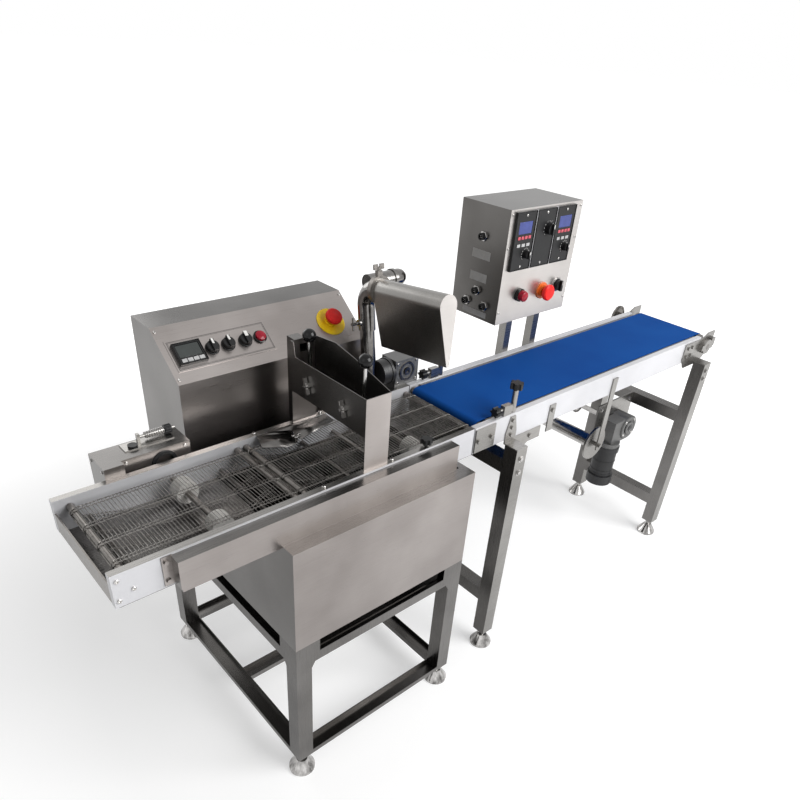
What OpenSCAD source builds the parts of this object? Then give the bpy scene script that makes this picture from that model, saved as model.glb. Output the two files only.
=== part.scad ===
// Table-height chocolate enrober: heated tank on a tube stand, wire mesh conveyor under a curtain box
// and an air nozzle, and a blue belt conveyor that carries the coated pieces away.
// Datum: x = 0 at the tank's left side, y = 0 at its front, z = 0 on the floor.

/* [Stand] */
// Width of the stand and tank along the conveyors
stand_w = 500; // [440:5:620]
// Depth of the stand and tank, front to back
stand_d = 615; // [580:5:700]
// Side of the square tube
tube = 40; // [30:1:46]
// Wall of the square tube
tube_wall = 2; // [1:0.5:4]
// Height of the levelling feet
foot_h = 55; // [46:1:80]
// Diameter of the foot pads
pad_d = 64; // [50:1:80]
// Height of the leg tops, which carry the tank
leg_top = 438; // [400:2:520]
// Height of the lower channels
channel_h = 14; // [8:1:30]
// Height of the upper ring's flange
ring_h = 26; // [16:1:34]
// Distance from the ring's underside to the leg tops
ring_drop = 60; // [50:1:90]

/* [Tank] */
// Height of the tank's top deck
tank_top = 700; // [640:2:760]
// Thickness of the sheet metal
sheet = 2; // [1:0.5:3]
// Width of the deck in front of the drip trough
ledge = 33; // [20:1:45]
// Height of the drip trough's front wall
trough_h = 65; // [40:1:68]
// Length of the trough left of the tank
trough_out = 204; // [120:2:260]
// Height of the heating jacket under the pan
jacket_h = 80; // [40:2:120]

/* [Mesh conveyor] */
// Distance from the tank's front to the front rail
rail_setback = 60; // [46:1:80]
// Thickness of the side rails
rail_t = 15; // [12:1:20]
// Height of the side rails
rail_h = 70; // [60:1:90]
// Clear width between the side rails
rail_gap = 244; // [230:2:270]
// Length of the mesh conveyor left of the tank
infeed_out = 311; // [260:1:380]
// Length of the front mesh rail right of the tank's left side
mesh_rail_len = 548; // [530:1:560]
// Width of the wire mesh
mesh_w = 200; // [160:2:220]
// Thickness of the mesh wires
wire = 1.6; // [1:0.1:2.4]
// Pitch of the mesh wires
wire_pitch = 8.5; // [6:0.1:12]
// Depth of the mesh below the rail tops
mesh_drop = 10; // [4:1:14]
// Radius of the nose rollers
nose_r = 8; // [6:0.5:10]
// Radius of the drive drums
drum_r = 24; // [16:1:25]
// Radius of the roller journals
journal_r = 5; // [3:0.5:6]

/* [Curtain box] */
// Distance of the curtain box from the tank's right side
curtain_setback = 279; // [240:1:340]
// Length of the curtain box along the belt
curtain_l = 64; // [54:1:80]
// Clear height under the curtain box, above the rails
curtain_gap = 80; // [40:1:100]
// Height of the curtain box's front plate
curtain_h = 84; // [60:1:110]
// Height that the curtain box's rear plate stands above the front plate
curtain_rise = 40; // [20:1:60]
// Radius of the gate levers' balls
ball_r = 15; // [10:0.5:18]

/* [Housing] */
// Distance of the housing's front from the tank's front
housing_y = 411; // [400:1:440]
// Height of the panel's lower edge
panel_low = 885; // [850:1:920]
// Height of the housing
housing_top = 972; // [930:1:1040]
// Depth of the housing's flat top
housing_flat = 90; // [60:1:120]

/* [Air nozzle] */
// Distance of the air pipe from the mesh motor
nozzle_gap = 24; // [20:1:60]
// Length of the nozzle
nozzle_l = 225; // [180:1:250]
// Height of the nozzle's section
nozzle_h = 156; // [120:1:180]
// Radius of the nozzle's round back
nozzle_r = 25; // [20:0.5:30]
// Outer radius of the fixed air pipe
pipe_r = 18; // [14:0.5:19]
// Lean of the air pipe towards the back, in degrees
pipe_lean = 7; // [0:0.5:9]

/* [Belt conveyor] */
// Length of the belt conveyor's rails
belt_rail_l = 1060; // [900:5:1200]
// Width of the belt
belt_w = 220; // [180:2:230]
// Thickness of the belt
belt_t = 2; // [1:0.5:3]
// Radius of the belt's drive roller
drive_r = 29; // [24:0.5:30]
// Radius of the belt's nose roller
belt_nose_r = 11; // [8:0.5:14]
// Height of the conveyor legs
conv_leg_top = 690; // [640:1:696]
// Clearance between the conveyor legs and the rails
leg_gap = 6; // [4:0.5:12]
// Distance of the second leg frame from the first
leg_pitch = 932; // [780:2:1000]

/* [Control box] */
// Width of the control box
ctl_w = 287; // [240:1:320]
// Depth of the control box
ctl_d = 162; // [120:1:190]
// Height of the control box
ctl_h = 286; // [240:1:320]
// Height of the control box's underside
ctl_z = 898; // [860:1:960]
// Distance of the control box from the belt conveyor's left end
ctl_out = 269; // [240:1:330]

/* [Clearances] */
// Radial clearance of a running shaft
run = 0.05; // [0.02:0.01:0.1]
// Gap between a moving piece and its neighbour
gap = 0.3; // [0.2:0.1:0.6]

/* [Hidden] */
$fn = 48;
rail_y0 = rail_setback;
rail_in0 = rail_y0 + rail_t;
rail_in1 = rail_in0 + rail_gap;
rail_y1 = rail_in1 + rail_t;
belt_mid = (rail_in0 + rail_in1) / 2;
rail_top = tank_top + rail_h;
infeed_x = -infeed_out;
mesh_z = rail_top - mesh_drop;
roller_z = mesh_z - wire - gap - nose_r;
drum_z = mesh_z - wire - gap - drum_r;
mesh_y0 = belt_mid - mesh_w / 2;
nose_setback = 29;
infeed_nose_x = infeed_x + nose_setback;
transfer_x = 83;
transfer_half = nose_r + wire + gap + 1;
infeed_end_x = transfer_x - transfer_half;
coat_nose_x = transfer_x + transfer_half;
coat_end_x = mesh_rail_len + 14;
back_rail_len = coat_end_x + 13;
infeed_drive_x = -78;
support_x = 410;
journal_l = 8;
blind = 10;
roller_side = 2;
drum_w = 30;
drum_inset = 14;
drum_lip = 4;
shaft_r = 7;
belt_x0 = mesh_rail_len + 3;
belt_back_x0 = back_rail_len + 3;
belt_x1 = belt_x0 + belt_rail_l;
belt_nose_x = coat_end_x + transfer_half + belt_nose_r + belt_t + 4;
belt_top = rail_top - 3;
drive_x = belt_x1 + 31;
end_plate_t = 4;
end_x = drive_x + 48;
mid_x = (infeed_x + end_x) / 2;
mid_y = stand_d / 2;
steel = "#b9b4b1";
dark_steel = "#8d8a88";
white_alu = "#e8e8ea";
black = "#1b1b1d";
chrome = "#d0d2d4";

module in_frame() translate([-mid_x, -mid_y, 0]) children();

// Four mirrored copies at the corners of a w by d rectangle
module at_corners(w, d)
    for (mx = [0, 1], my = [0, 1])
        translate([mx * w, my * d, 0]) mirror([mx, 0, 0]) mirror([0, my, 0]) children();

module along_y(x, y, z) translate([x, y, z]) rotate([-90, 0, 0]) children();

module along_x(x, y, z) translate([x, y, z]) rotate([0, 90, 0]) children();

// Closed square tube with a plate at each end
module closed_tube(l)
    difference() {
        cube([tube, tube, l]);
        translate([tube_wall, tube_wall, tube_wall])
            cube([tube - 2 * tube_wall, tube - 2 * tube_wall, l - 2 * tube_wall]);
    }

// Levelling foot: turned cone on a stud with a lock nut
nut_h = 9;
stud_r = 7;
cone_h = 34;
pad_edge = 6;
neck_r = 14;
module foot() {
    rotate_extrude()
        polygon([[0, 0], [pad_d / 2, 0], [pad_d / 2, pad_edge], [neck_r, cone_h], [stud_r, cone_h],
            [stud_r, foot_h], [0, foot_h]]);
    translate([0, 0, foot_h - nut_h]) cylinder(r = neck_r - 1, h = nut_h, $fn = 6);
}

// Upward open channel of length l along x
module channel(l)
    difference() {
        cube([l, tube, channel_h]);
        translate([-1, sheet, sheet]) cube([l + 2, tube - 2 * sheet, channel_h]);
    }

// Angle with its flange outside at y = 0
module angle_bar(l) {
    cube([l, sheet, ring_h]);
    cube([l, tube, sheet]);
}

gusset_h = 76;
gusset_w = 22;
module gusset()
    translate([0, sheet, 0]) rotate([90, 0, 0]) linear_extrude(sheet)
        polygon([[tube, leg_top - gusset_h], [tube + gusset_w, leg_top - gusset_h / 2],
            [tube + gusset_w, leg_top], [tube, leg_top]]);

module stand_frame() in_frame() color(steel) {
    at_corners(stand_w, stand_d) {
        translate([0, 0, foot_h]) closed_tube(leg_top - foot_h);
        gusset();
        mirror([1, -1, 0]) gusset();
    }
    for (my = [0, 1]) translate([tube, my * stand_d, 0]) mirror([0, my, 0]) {
        translate([0, 0, foot_h]) channel(stand_w - 2 * tube);
        translate([0, 0, leg_top - ring_drop]) angle_bar(stand_w - 2 * tube);
    }
    for (mx = [0, 1]) translate([mx * stand_w, 0, 0]) mirror([mx, 0, 0]) mirror([1, -1, 0]) {
        translate([tube, 0, foot_h]) channel(stand_d - 2 * tube);
        translate([tube, 0, leg_top - ring_drop]) angle_bar(stand_d - 2 * tube);
    }
    translate([tube, (stand_d - tube) / 2, foot_h]) channel(stand_w - 2 * tube);
}

module levelling_feet() in_frame() color(chrome) {
    at_corners(stand_w, stand_d) translate([tube / 2, tube / 2, 0]) foot();
    for (x = [leg1_x, leg2_x], y = [leg_y0, leg_y1]) translate([x + tube / 2, y + tube / 2, 0]) foot();
}

// Tank shell: open well at the front, closed compartment under the housing
rim = 18;
well_y1 = housing_y - 11;
wheel_x = stand_w - 128;
wheel_r = 80;
wheel_w = 40;
wheel_shaft_r = 9;
pan_bottom = leg_top + sheet + jacket_h;
wheel_z = pan_bottom + sheet + wheel_r + 8;
module tank() in_frame() color(steel) difference() {
    translate([0, 0, leg_top]) cube([stand_w, stand_d, tank_top - leg_top]);
    translate([sheet, sheet, leg_top + sheet])
        cube([stand_w - 2 * sheet, well_y1 - sheet, tank_top - leg_top - 2 * sheet]);
    translate([rim, ledge + sheet, tank_top - 2 * sheet])
        cube([stand_w - 2 * rim, well_y1 - ledge - sheet, 3 * sheet]);
    translate([sheet, well_y1 + sheet, leg_top + sheet])
        cube([stand_w - 2 * sheet, stand_d - well_y1 - 2 * sheet, tank_top - leg_top - 2 * sheet]);
    along_y(wheel_x, well_y1 - 1, wheel_z) cylinder(r = wheel_shaft_r + run, h = sheet + 2);
}

// Inner pan that holds the melted chocolate, on its heating jacket
pan_in = 40;
pan_y0 = 60;
jacket_in = 20;
pan_y1 = well_y1 - 10;
module chocolate_pan() in_frame() color(steel) difference() {
    union() {
        translate([pan_in, pan_y0, pan_bottom])
            cube([stand_w - 2 * pan_in, pan_y1 - pan_y0, tank_top - pan_bottom - 3 * sheet]);
        translate([pan_in + jacket_in, pan_y0 + jacket_in, leg_top + sheet])
            cube([stand_w - 2 * pan_in - 2 * jacket_in, pan_y1 - pan_y0 - 2 * jacket_in, jacket_h]);
    }
    translate([pan_in + sheet, pan_y0 + sheet, pan_bottom + sheet])
        cube([stand_w - 2 * pan_in - 2 * sheet, pan_y1 - pan_y0 - 2 * sheet, tank_top]);
    along_y(wheel_x, pan_y1 - sheet - 1, wheel_z) cylinder(r = wheel_shaft_r + run, h = sheet + 2);
}

// Stirring wheel: rim, pierced web and hub on a shaft from the rear compartment
wheel_y = pan_y1 - sheet - wheel_w - 5;
wheel_rim = 8;
web_t = 6;
web_holes = 6;
hub_r = 18;
module stirring_wheel() in_frame() color(chrome) along_y(wheel_x, wheel_y, wheel_z) {
    difference() {
        rotate_extrude() polygon([[0, 0], [hub_r, 0], [hub_r, (wheel_w - web_t) / 2],
            [wheel_r - wheel_rim, (wheel_w - web_t) / 2], [wheel_r - wheel_rim, 0], [wheel_r, 0],
            [wheel_r, wheel_w], [wheel_r - wheel_rim, wheel_w], [wheel_r - wheel_rim, (wheel_w + web_t) / 2],
            [hub_r, (wheel_w + web_t) / 2], [hub_r, wheel_w], [0, wheel_w]]);
        for (i = [0 : web_holes - 1])
            rotate([0, 0, 360 / web_holes * i]) translate([(wheel_r + hub_r - wheel_rim) / 2, 0, 0])
                cylinder(r = hub_r - 2, h = wheel_w);
    }
    translate([0, 0, wheel_w - 1]) cylinder(r = wheel_shaft_r, h = well_y1 + sheet + 41 - wheel_y - wheel_w);
}

wheel_box = 90;
module wheel_gearmotor() in_frame() color(dark_steel) difference() {
    union() {
        translate([wheel_x - wheel_box / 2, well_y1 + sheet + 8, leg_top + sheet])
            cube([wheel_box, wheel_box, wheel_z + wheel_box / 2 - leg_top - sheet]);
        along_y(wheel_x, well_y1 + sheet + 8 + wheel_box, wheel_z) cylinder(r = 36, h = 60);
    }
    along_y(wheel_x, well_y1, wheel_z) cylinder(r = wheel_shaft_r + run, h = 60);
}

// Drip trough: front wall and flange beside the rail, tray left of the tank
trough_x1 = stand_w - 29;
trough_lip = 12;
module drip_trough() in_frame() color(steel) {
    translate([-trough_out, ledge, tank_top]) cube([trough_out + trough_x1, sheet, trough_h]);
    translate([-trough_out, ledge, tank_top + trough_h - sheet])
        cube([trough_out + trough_x1, rail_y0 - ledge, sheet]);
    translate([-trough_out, ledge, tank_top - sheet]) cube([trough_out, rail_y1 - ledge + sheet, sheet]);
    translate([-trough_out, rail_y1, tank_top - sheet]) cube([trough_out, sheet, trough_lip]);
    translate([-trough_out - 20, rail_y0 - sheet, tank_top + 4]) cube([20, sheet, trough_h - 2]);
    translate([-trough_out - sheet, ledge, tank_top + 4]) cube([sheet, rail_y0 - ledge, trough_h - 4]);
    for (z = [tank_top + 14, tank_top + trough_h - 10])
        translate([-trough_out - 12, rail_y0 - sheet, z]) rotate([90, 0, 0])
            cylinder(r = 5, h = 4, $fn = 6);
}

// Mesh rails with blind journal holes on their inner faces
module journal_hole(x, z, depth, inner_y, out)
    translate([x, inner_y - out * 1, z]) rotate([out * -90, 0, 0])
        cylinder(r = journal_r + run, h = depth + 1);

mesh_journals = [[infeed_nose_x, roller_z], [infeed_end_x, roller_z], [coat_nose_x, roller_z],
    [support_x, drum_z]];

module mesh_front_rail() in_frame() color(white_alu) difference() {
    translate([infeed_x, rail_y0, tank_top]) cube([mesh_rail_len - infeed_x, rail_t, rail_h]);
    for (p = mesh_journals) journal_hole(p[0], p[1], blind, rail_in0, -1);
    journal_hole(infeed_drive_x, drum_z, blind, rail_in0, -1);
}

module mesh_back_rail() in_frame() color(white_alu) difference() {
    translate([infeed_x, rail_in1, tank_top]) cube([back_rail_len - infeed_x, rail_t, rail_h]);
    for (p = mesh_journals) journal_hole(p[0], p[1], blind, rail_in1, 1);
    journal_hole(infeed_drive_x, drum_z, rail_t + 1, rail_in1, 1);
    journal_hole(coat_end_x, roller_z, rail_t + 1, rail_in1, 1);
}

// Cross plate at the infeed end and round tie bars between the rails
end_plate_h = 42;
tie_r = 5;
tie_x = [infeed_x + 60, infeed_end_x - 42, coat_nose_x + 146, support_x - 80];
ear_t = 3;
ear_l = 40;
module mesh_cross_ties() in_frame() color(dark_steel) {
    translate([infeed_x, rail_in0, tank_top + 2]) cube([3, rail_gap, end_plate_h]);
    for (x = tie_x) along_y(x, rail_in0, tank_top + 14) cylinder(r = tie_r, h = rail_gap);
    difference() {
        translate([mesh_rail_len - ear_l, rail_in0, roller_z - 16])
            cube([coat_end_x + 12 - mesh_rail_len + ear_l, ear_t, 26]);
        along_y(coat_end_x, rail_in0 - 1, roller_z) cylinder(r = journal_r + run, h = ear_t + 2);
    }
}

// Flat ladder of mesh: rods across the belt with links in four columns
links = 4;
link_w = 3;
module ladder(l) {
    rows = floor((l - wire) / wire_pitch);
    step = (l - wire) / rows;
    span = (mesh_w - link_w) / (links - 1);
    linear_extrude(wire) difference() {
        square([l, mesh_w]);
        for (i = [0 : rows - 1], j = [0 : links - 2])
            translate([wire + i * step, link_w + j * span])
                square([step - wire, span - link_w]);
    }
}

// Half ring of links round a nose roller, opening towards +x
module nose_links(inner) {
    span = (mesh_w - link_w) / (links - 1);
    for (j = [0 : links - 1]) translate([0, j * span, 0]) rotate([-90, 0, 0])
        difference() {
            cylinder(r = inner + wire, h = link_w);
            translate([0, 0, -1]) cylinder(r = inner, h = link_w + 2);
            translate([0, -inner - 2 * wire, -1])
                cube([2 * inner + 4 * wire, 2 * inner + 4 * wire, link_w + 2]);
        }
}

// Closed mesh loop between two nose rollers, dipping under the drive drums
return_z = tank_top + 5;
module mesh_loop(x0, x1, low0, low1) {
    inner = nose_r + gap;
    drop = roller_z - inner - wire - return_z;
    run0 = low0 - x0;
    run1 = x1 - low1;
    translate([x0, mesh_y0, mesh_z - wire]) ladder(x1 - x0);
    translate([x0, mesh_y0, roller_z]) nose_links(inner);
    translate([x1, mesh_y0, roller_z]) mirror([1, 0, 0]) nose_links(inner);
    translate([low0, mesh_y0, return_z]) ladder(low1 - low0);
    translate([x0, mesh_y0, roller_z - inner - wire]) rotate([0, atan2(drop, run0), 0])
        translate([gap, 0, 0]) ladder(norm([drop, run0]) - 4 * gap);
    translate([x1, mesh_y0, roller_z - inner - wire]) mirror([1, 0, 0]) rotate([0, atan2(drop, run1), 0])
        translate([gap, 0, 0]) ladder(norm([drop, run1]) - 4 * gap);
}

module infeed_mesh() in_frame() color(chrome)
    mesh_loop(infeed_nose_x, infeed_end_x, infeed_drive_x - 70, infeed_drive_x + 60);

module coating_mesh() in_frame() color(chrome)
    mesh_loop(coat_nose_x, coat_end_x, coat_nose_x + 110, support_x + 50);

// Roller with a body of radius r and journals in both rails
module mesh_roller(x, z, r) {
    along_y(x, rail_in0 + roller_side, z) cylinder(r = r, h = rail_gap - 2 * roller_side);
    along_y(x, rail_in0 - journal_l, z) cylinder(r = journal_r, h = rail_gap + 2 * journal_l);
}

module infeed_nose_roller() in_frame() color(dark_steel) mesh_roller(infeed_nose_x, roller_z, nose_r);

module infeed_end_roller() in_frame() color(dark_steel) mesh_roller(infeed_end_x, roller_z, nose_r);

module coating_nose_roller() in_frame() color(dark_steel) mesh_roller(coat_nose_x, roller_z, nose_r);

gear_y = rail_y1 + 2;
module coating_drive_roller() in_frame() color(dark_steel) {
    along_y(coat_end_x, rail_in0 + ear_t + roller_side, roller_z)
        cylinder(r = nose_r, h = rail_gap - ear_t - 2 * roller_side);
    along_y(coat_end_x, rail_in0 + gap, roller_z) cylinder(r = journal_r, h = gear_y + 30 - rail_in0 - gap);
}

module drum_shaft(x, y1) {
    along_y(x, rail_in0 + roller_side, drum_z) cylinder(r = shaft_r, h = rail_gap - 2 * roller_side);
    along_y(x, rail_in0 - journal_l, drum_z) cylinder(r = journal_r, h = y1 - rail_in0 + journal_l);
}

// White drums on a shaft, with flanged edges
module drums(x)
    for (y = [mesh_y0 + drum_inset, mesh_y0 + mesh_w - drum_inset - drum_w])
        along_y(x, y, drum_z) {
            cylinder(r = drum_r - 1, h = drum_w);
            for (z = [0, drum_w - drum_lip]) translate([0, 0, z]) cylinder(r = drum_r, h = drum_lip);
        }

drive_y = rail_y1 + 15;
drive_in = 30;
module infeed_drums() in_frame() color("white") {
    drum_shaft(infeed_drive_x, drive_y + drive_in);
    drums(infeed_drive_x);
}

module support_drums() in_frame() color("white") {
    drum_shaft(support_x, rail_in1 + journal_l);
    drums(support_x);
}

// Sheet box behind the back rail with the infeed drive
box_x0 = -205;
box_x1 = -19;
box_y1 = rail_y1 + 78;
box_top = rail_top + 22;
box_low = tank_top + trough_lip;
cheek_l = 40;
port_r = 26;
port_d = 8;
module drive_box() in_frame() color(steel) difference() {
    union() {
        translate([box_x0, rail_y1, box_low]) cube([cheek_l, box_y1 - rail_y1, box_top - box_low]);
        translate([box_x0, drive_y, box_low]) cube([box_x1 - box_x0, box_y1 - drive_y, box_top - box_low]);
    }
    along_y(infeed_drive_x, drive_y - 1, rail_top - 12) cylinder(r = port_r, h = port_d + 1);
    along_y(infeed_drive_x, drive_y - 1, drum_z) cylinder(r = journal_r + run, h = drive_in + 3);
}

// Tension adjuster on top of the drive box: slotted plate, rod and spring
adj_y = box_y1 - 22;
adj_z = box_top + 12;
adj_x = box_x0 + 60;
adj_l = 105;
adj_rod_r = 3;
adj_rod_x = adj_x + 41;
spring_r = 6;
coils = 8;
coil_pitch = 5;
module tension_adjuster() in_frame() color(chrome) {
    translate([adj_x, adj_y - 16, box_top]) cube([adj_l, 32, sheet]);
    translate([adj_rod_x - 6, adj_y + 4, box_top]) cube([6, 8, 20]);
    along_x(adj_rod_x - 1, adj_y + 8, adj_z) cylinder(r = adj_rod_r, h = 78);
    for (i = [0 : coils - 1])
        along_x(adj_rod_x + 12 + coil_pitch * i, adj_y + 8, adj_z) cylinder(r = spring_r, h = 3);
    translate([adj_x + 20, adj_y - 6, box_top]) cylinder(r = 10, h = 7);
}

knurl_r = 10;
knurl_l = 14;
module tension_knob() along_x(adj_rod_x + 54, adj_y + 8, adj_z) difference() {
    cylinder(r = knurl_r, h = knurl_l);
    translate([0, 0, -1]) cylinder(r = adj_rod_r + run, h = knurl_l + 2);
    for (a = [0 : 30 : 330])
        rotate([0, 0, a]) translate([knurl_r + 1, 0, -1]) cylinder(r = 2, h = knurl_l + 2, $fn = 16);
}

// Small gear motor behind the back rail, on the coating mesh's drive roller
gear_w = 72;
gear_h = 96;
gear_d = 55;
gear_x = coat_end_x - 22;
gear_z = roller_z - 8;
motor_r = 32;
can_l = 38;
module mesh_gearmotor() in_frame() {
    difference() {
        color(dark_steel) {
            translate([gear_x, gear_y, gear_z]) cube([gear_w, gear_d, gear_h]);
            translate([gear_x - 3, rail_y1, gear_z + 20]) cube([gear_w + 6, gear_y - rail_y1, gear_h - 20]);
        }
        along_y(coat_end_x, rail_y1 - 1, roller_z) cylinder(r = journal_r + run, h = 34);
    }
    color(black) along_x(gear_x - can_l, gear_y + gear_d / 2, gear_z + gear_h - motor_r) {
        cylinder(r = motor_r, h = can_l);
        translate([0, 0, can_l - 12]) cylinder(r = motor_r + 2, h = 6);
    }
}

// Curtain box: two plates across the belt between end plates, standing on the rails
curtain_x = stand_w - curtain_setback;
curtain_y0 = rail_in0 - 9;
curtain_y1 = rail_in1 + 6;
curtain_z = rail_top + curtain_gap;
curtain_top = curtain_z + curtain_h;
slot_w = 14;
module rear_profile() polygon([[curtain_y0, curtain_z], [curtain_y1, curtain_z],
    [curtain_y1, curtain_top + curtain_rise - 8], [curtain_y1 - 75, curtain_top + curtain_rise],
    [curtain_y1 - 145, curtain_top + curtain_rise - 12], [curtain_y0, curtain_top]]);

module front_profile() polygon([[curtain_y0, curtain_z], [curtain_y1, curtain_z],
    [curtain_y1, curtain_top + curtain_rise - 8], [curtain_y1 - 10, curtain_top + curtain_rise - 8],
    [curtain_y1 - 16, curtain_top], [curtain_y0, curtain_top]]);

module in_yz() rotate([90, 0, 90]) linear_extrude(sheet) children();

stud_y = [curtain_y0 + 67, curtain_y1 - 66];
stud_z = curtain_z + 38;
module curtain_box() in_frame() color(steel) {
    translate([curtain_x, 0, 0]) in_yz() front_profile();
    translate([curtain_x + curtain_l - sheet, 0, 0]) in_yz() rear_profile();
    translate([curtain_x, curtain_y0, rail_top]) cube([curtain_l, sheet, curtain_top - rail_top]);
    difference() {
        translate([curtain_x, curtain_y1 - sheet, rail_top])
            cube([curtain_l, sheet, curtain_top + curtain_rise - 8 - rail_top]);
        translate([gate_x, curtain_y1 - 2 * sheet, spout_z + sheet])
            duct(spout_w - 2 * sheet, 3 * sheet, spout_w - 2 * sheet);
    }
    for (mx = [0, 1]) translate([curtain_x + mx * curtain_l, curtain_y0, curtain_z]) mirror([mx, 0, 0])
        cube([(curtain_l - slot_w) / 2, curtain_y1 - curtain_y0, sheet]);
    for (y = stud_y) along_x(curtain_x - 14, y, stud_z) cylinder(r = 3, h = 14);
    for (i = [0, 1]) wing_nut(i);
}

// Gate bars that close the slot, lifted by ball levers
gate_x = curtain_x + curtain_l / 2;
gate_t = 6;
gate_w = slot_w + 8;
rod_r = 4;
lever_y = [curtain_y0 + 46, curtain_y1 - 24];
lever_top = [curtain_top + 56, curtain_top + 45];
gate_mid = (curtain_y0 + curtain_y1) / 2;
module gate(i) {
    y0 = i == 0 ? curtain_y0 + sheet + gap : gate_mid + gap;
    y1 = i == 0 ? gate_mid - gap : curtain_y1 - sheet - gap;
    translate([gate_x - gate_w / 2, y0, curtain_z + sheet]) cube([gate_w, y1 - y0, gate_t]);
    translate([gate_x, lever_y[i], curtain_z + sheet])
        cylinder(r = rod_r, h = lever_top[i] - curtain_z - sheet);
    translate([gate_x, lever_y[i], lever_top[i]]) sphere(r = ball_r);
}

module front_gate() in_frame() color(chrome) gate(0);

module rear_gate() in_frame() color(chrome) gate(1);

// Wing nut on a stud through the front plate
module wing_nut(i) translate([curtain_x, stud_y[i], stud_z]) rotate([0, -90, 0]) difference() {
    union() {
        cylinder(r = 7, h = 7);
        for (a = [20, 200])
            rotate([0, 0, a]) translate([4, -1.5, 2]) cube([14, 3, 9]);
    }
    translate([0, 0, -1]) cylinder(r = 3 + run, h = 14);
}

// Square riser duct that brings chocolate from the pan to the back of the curtain box
riser_w = 28;
spout_w = 22;
riser_y = rail_y1 + 4;
riser_low = pan_bottom + sheet;
riser_top = curtain_top + 26;
spout_z = riser_top - 26;
inlet_h = 20;
module duct(w, l, h) translate([-w / 2, 0, 0]) cube([w, l, h]);

module riser_pipe() in_frame() color(steel) translate([gate_x, 0, 0]) difference() {
    union() {
        translate([0, riser_y, riser_low]) duct(riser_w, riser_w, riser_top - riser_low);
        translate([0, curtain_y1, spout_z]) duct(spout_w, riser_y - curtain_y1 + 1, spout_w);
    }
    translate([0, riser_y + sheet, riser_low + sheet])
        duct(riser_w - 2 * sheet, riser_w - 2 * sheet, riser_top - riser_low - 2 * sheet);
    translate([0, curtain_y1 - 1, spout_z + sheet])
        duct(spout_w - 2 * sheet, riser_y - curtain_y1 + 2 * sheet, spout_w - 2 * sheet);
    translate([0, riser_y - 1, riser_low + sheet]) duct(inlet_h, 2 * sheet, inlet_h);
}

// Housing with a slanted control panel
housing_flat_y = stand_d - housing_flat;
panel_rise = housing_top - panel_low;
panel_run = housing_flat_y - housing_y;
panel_a = atan2(panel_rise, panel_run);
panel_l = norm([panel_rise, panel_run]);
module housing_profile(in, low) polygon([[housing_y + in, low],
    [housing_y + in, panel_low + in * (tan(panel_a) - 1 / cos(panel_a))],
    [housing_y + (panel_rise - in + in / cos(panel_a)) / tan(panel_a), housing_top - in],
    [stand_d - in, housing_top - in], [stand_d - in, low]]);

// Places children on the panel, u along x and s down from its upper edge
module on_panel(u, s)
    translate([u, housing_flat_y, housing_top]) rotate([panel_a, 0, 0]) translate([0, -s, 0]) children();

knob_u = [109, 148, 191];
lamp_u = 229;
row_s = 78;
estop_u = stand_w - 72;
estop_s = 80;
barrel_r = 11;
plate_u = 14;
plate_w = 242;
plate_h = 77.4;
plate_drop = 37.4;
plate_t = 1;
module housing_shell() in_frame() color(steel) {
    difference() {
        rotate([90, 0, 90]) linear_extrude(stand_w) housing_profile(0, tank_top);
        translate([sheet, 0, 0]) rotate([90, 0, 90])
            linear_extrude(stand_w - 2 * sheet) housing_profile(sheet, tank_top - 1);
        on_panel(estop_u, estop_s) translate([0, 0, -10]) cylinder(r = barrel_r + gap, h = 20);
    }
    on_panel(plate_u, row_s + plate_drop) translate([0, 0, -sheet / 2]) cube([plate_w, plate_h, sheet / 2 + plate_t]);
}

// Temperature controller with a raised bezel
tc_w = 64;
tc_h = 52;
module temperature_controller() in_frame() color(black)
    on_panel(plate_u + 9, row_s + tc_h / 2) translate([0, 0, plate_t]) difference() {
        cube([tc_w, tc_h, 8]);
        translate([5, 16, 6]) cube([tc_w - 10, tc_h - 21, 3]);
    }

knob_r = 10;
knob_h = 12;
// Selector knob: skirt, body and pointer ridge
module selector(r, h) {
    cylinder(r = r + 2, h = 3);
    cylinder(r = r, h = h);
    translate([-r / 4, -r, h]) cube([r / 2, 2 * r, r / 2]);
}

module housing_knob(i) in_frame() color(black)
    on_panel(knob_u[i], row_s) translate([0, 0, plate_t]) selector(knob_r, knob_h);

module heater_knob() housing_knob(0);

module wheel_knob() housing_knob(1);

module infeed_knob() housing_knob(2);

module pilot_lamps() in_frame() color("crimson") {
    on_panel(lamp_u, row_s) translate([0, 0, plate_t]) {
        cylinder(r = knob_r, h = 4);
        cylinder(r = knob_r - 2, h = 10);
    }
    on_front(lamp_v, stop_z + 4) {
        cylinder(r = 17, h = 8);
        cylinder(r = 13, h = 20);
    }
}

// Emergency stop: fixed collar and barrel, mushroom button on a stem
stop_gap = 6;
stop_stem = 6;
head_r = 21;
module stop_base(plate_r, plate_t) difference() {
    union() {
        cylinder(r = plate_r, h = plate_t);
        cylinder(r = barrel_r + 4, h = plate_t + 6);
        translate([0, 0, -22]) cylinder(r = barrel_r, h = 24);
    }
    translate([0, 0, -20]) cylinder(r = stop_stem + run, h = 60);
}

module stop_button(h0) {
    translate([0, 0, h0 + stop_gap]) rotate_extrude()
        polygon([[0, 0], [head_r - 5, 0], [head_r, 5], [head_r, 12], [head_r - 3, 15], [0, 16]]);
    translate([0, 0, h0 - 12]) cylinder(r = stop_stem, h = 12 + stop_gap + 1);
}

disc_r = 37;
collar_r = 22;
module stop_bases() in_frame() color("gold") {
    on_panel(estop_u, estop_s) stop_base(disc_r, 2);
    on_front(stop_u, stop_z) stop_base(collar_r, 4);
}

module housing_stop_button() in_frame() color("red") on_panel(estop_u, estop_s) stop_button(8);

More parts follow.
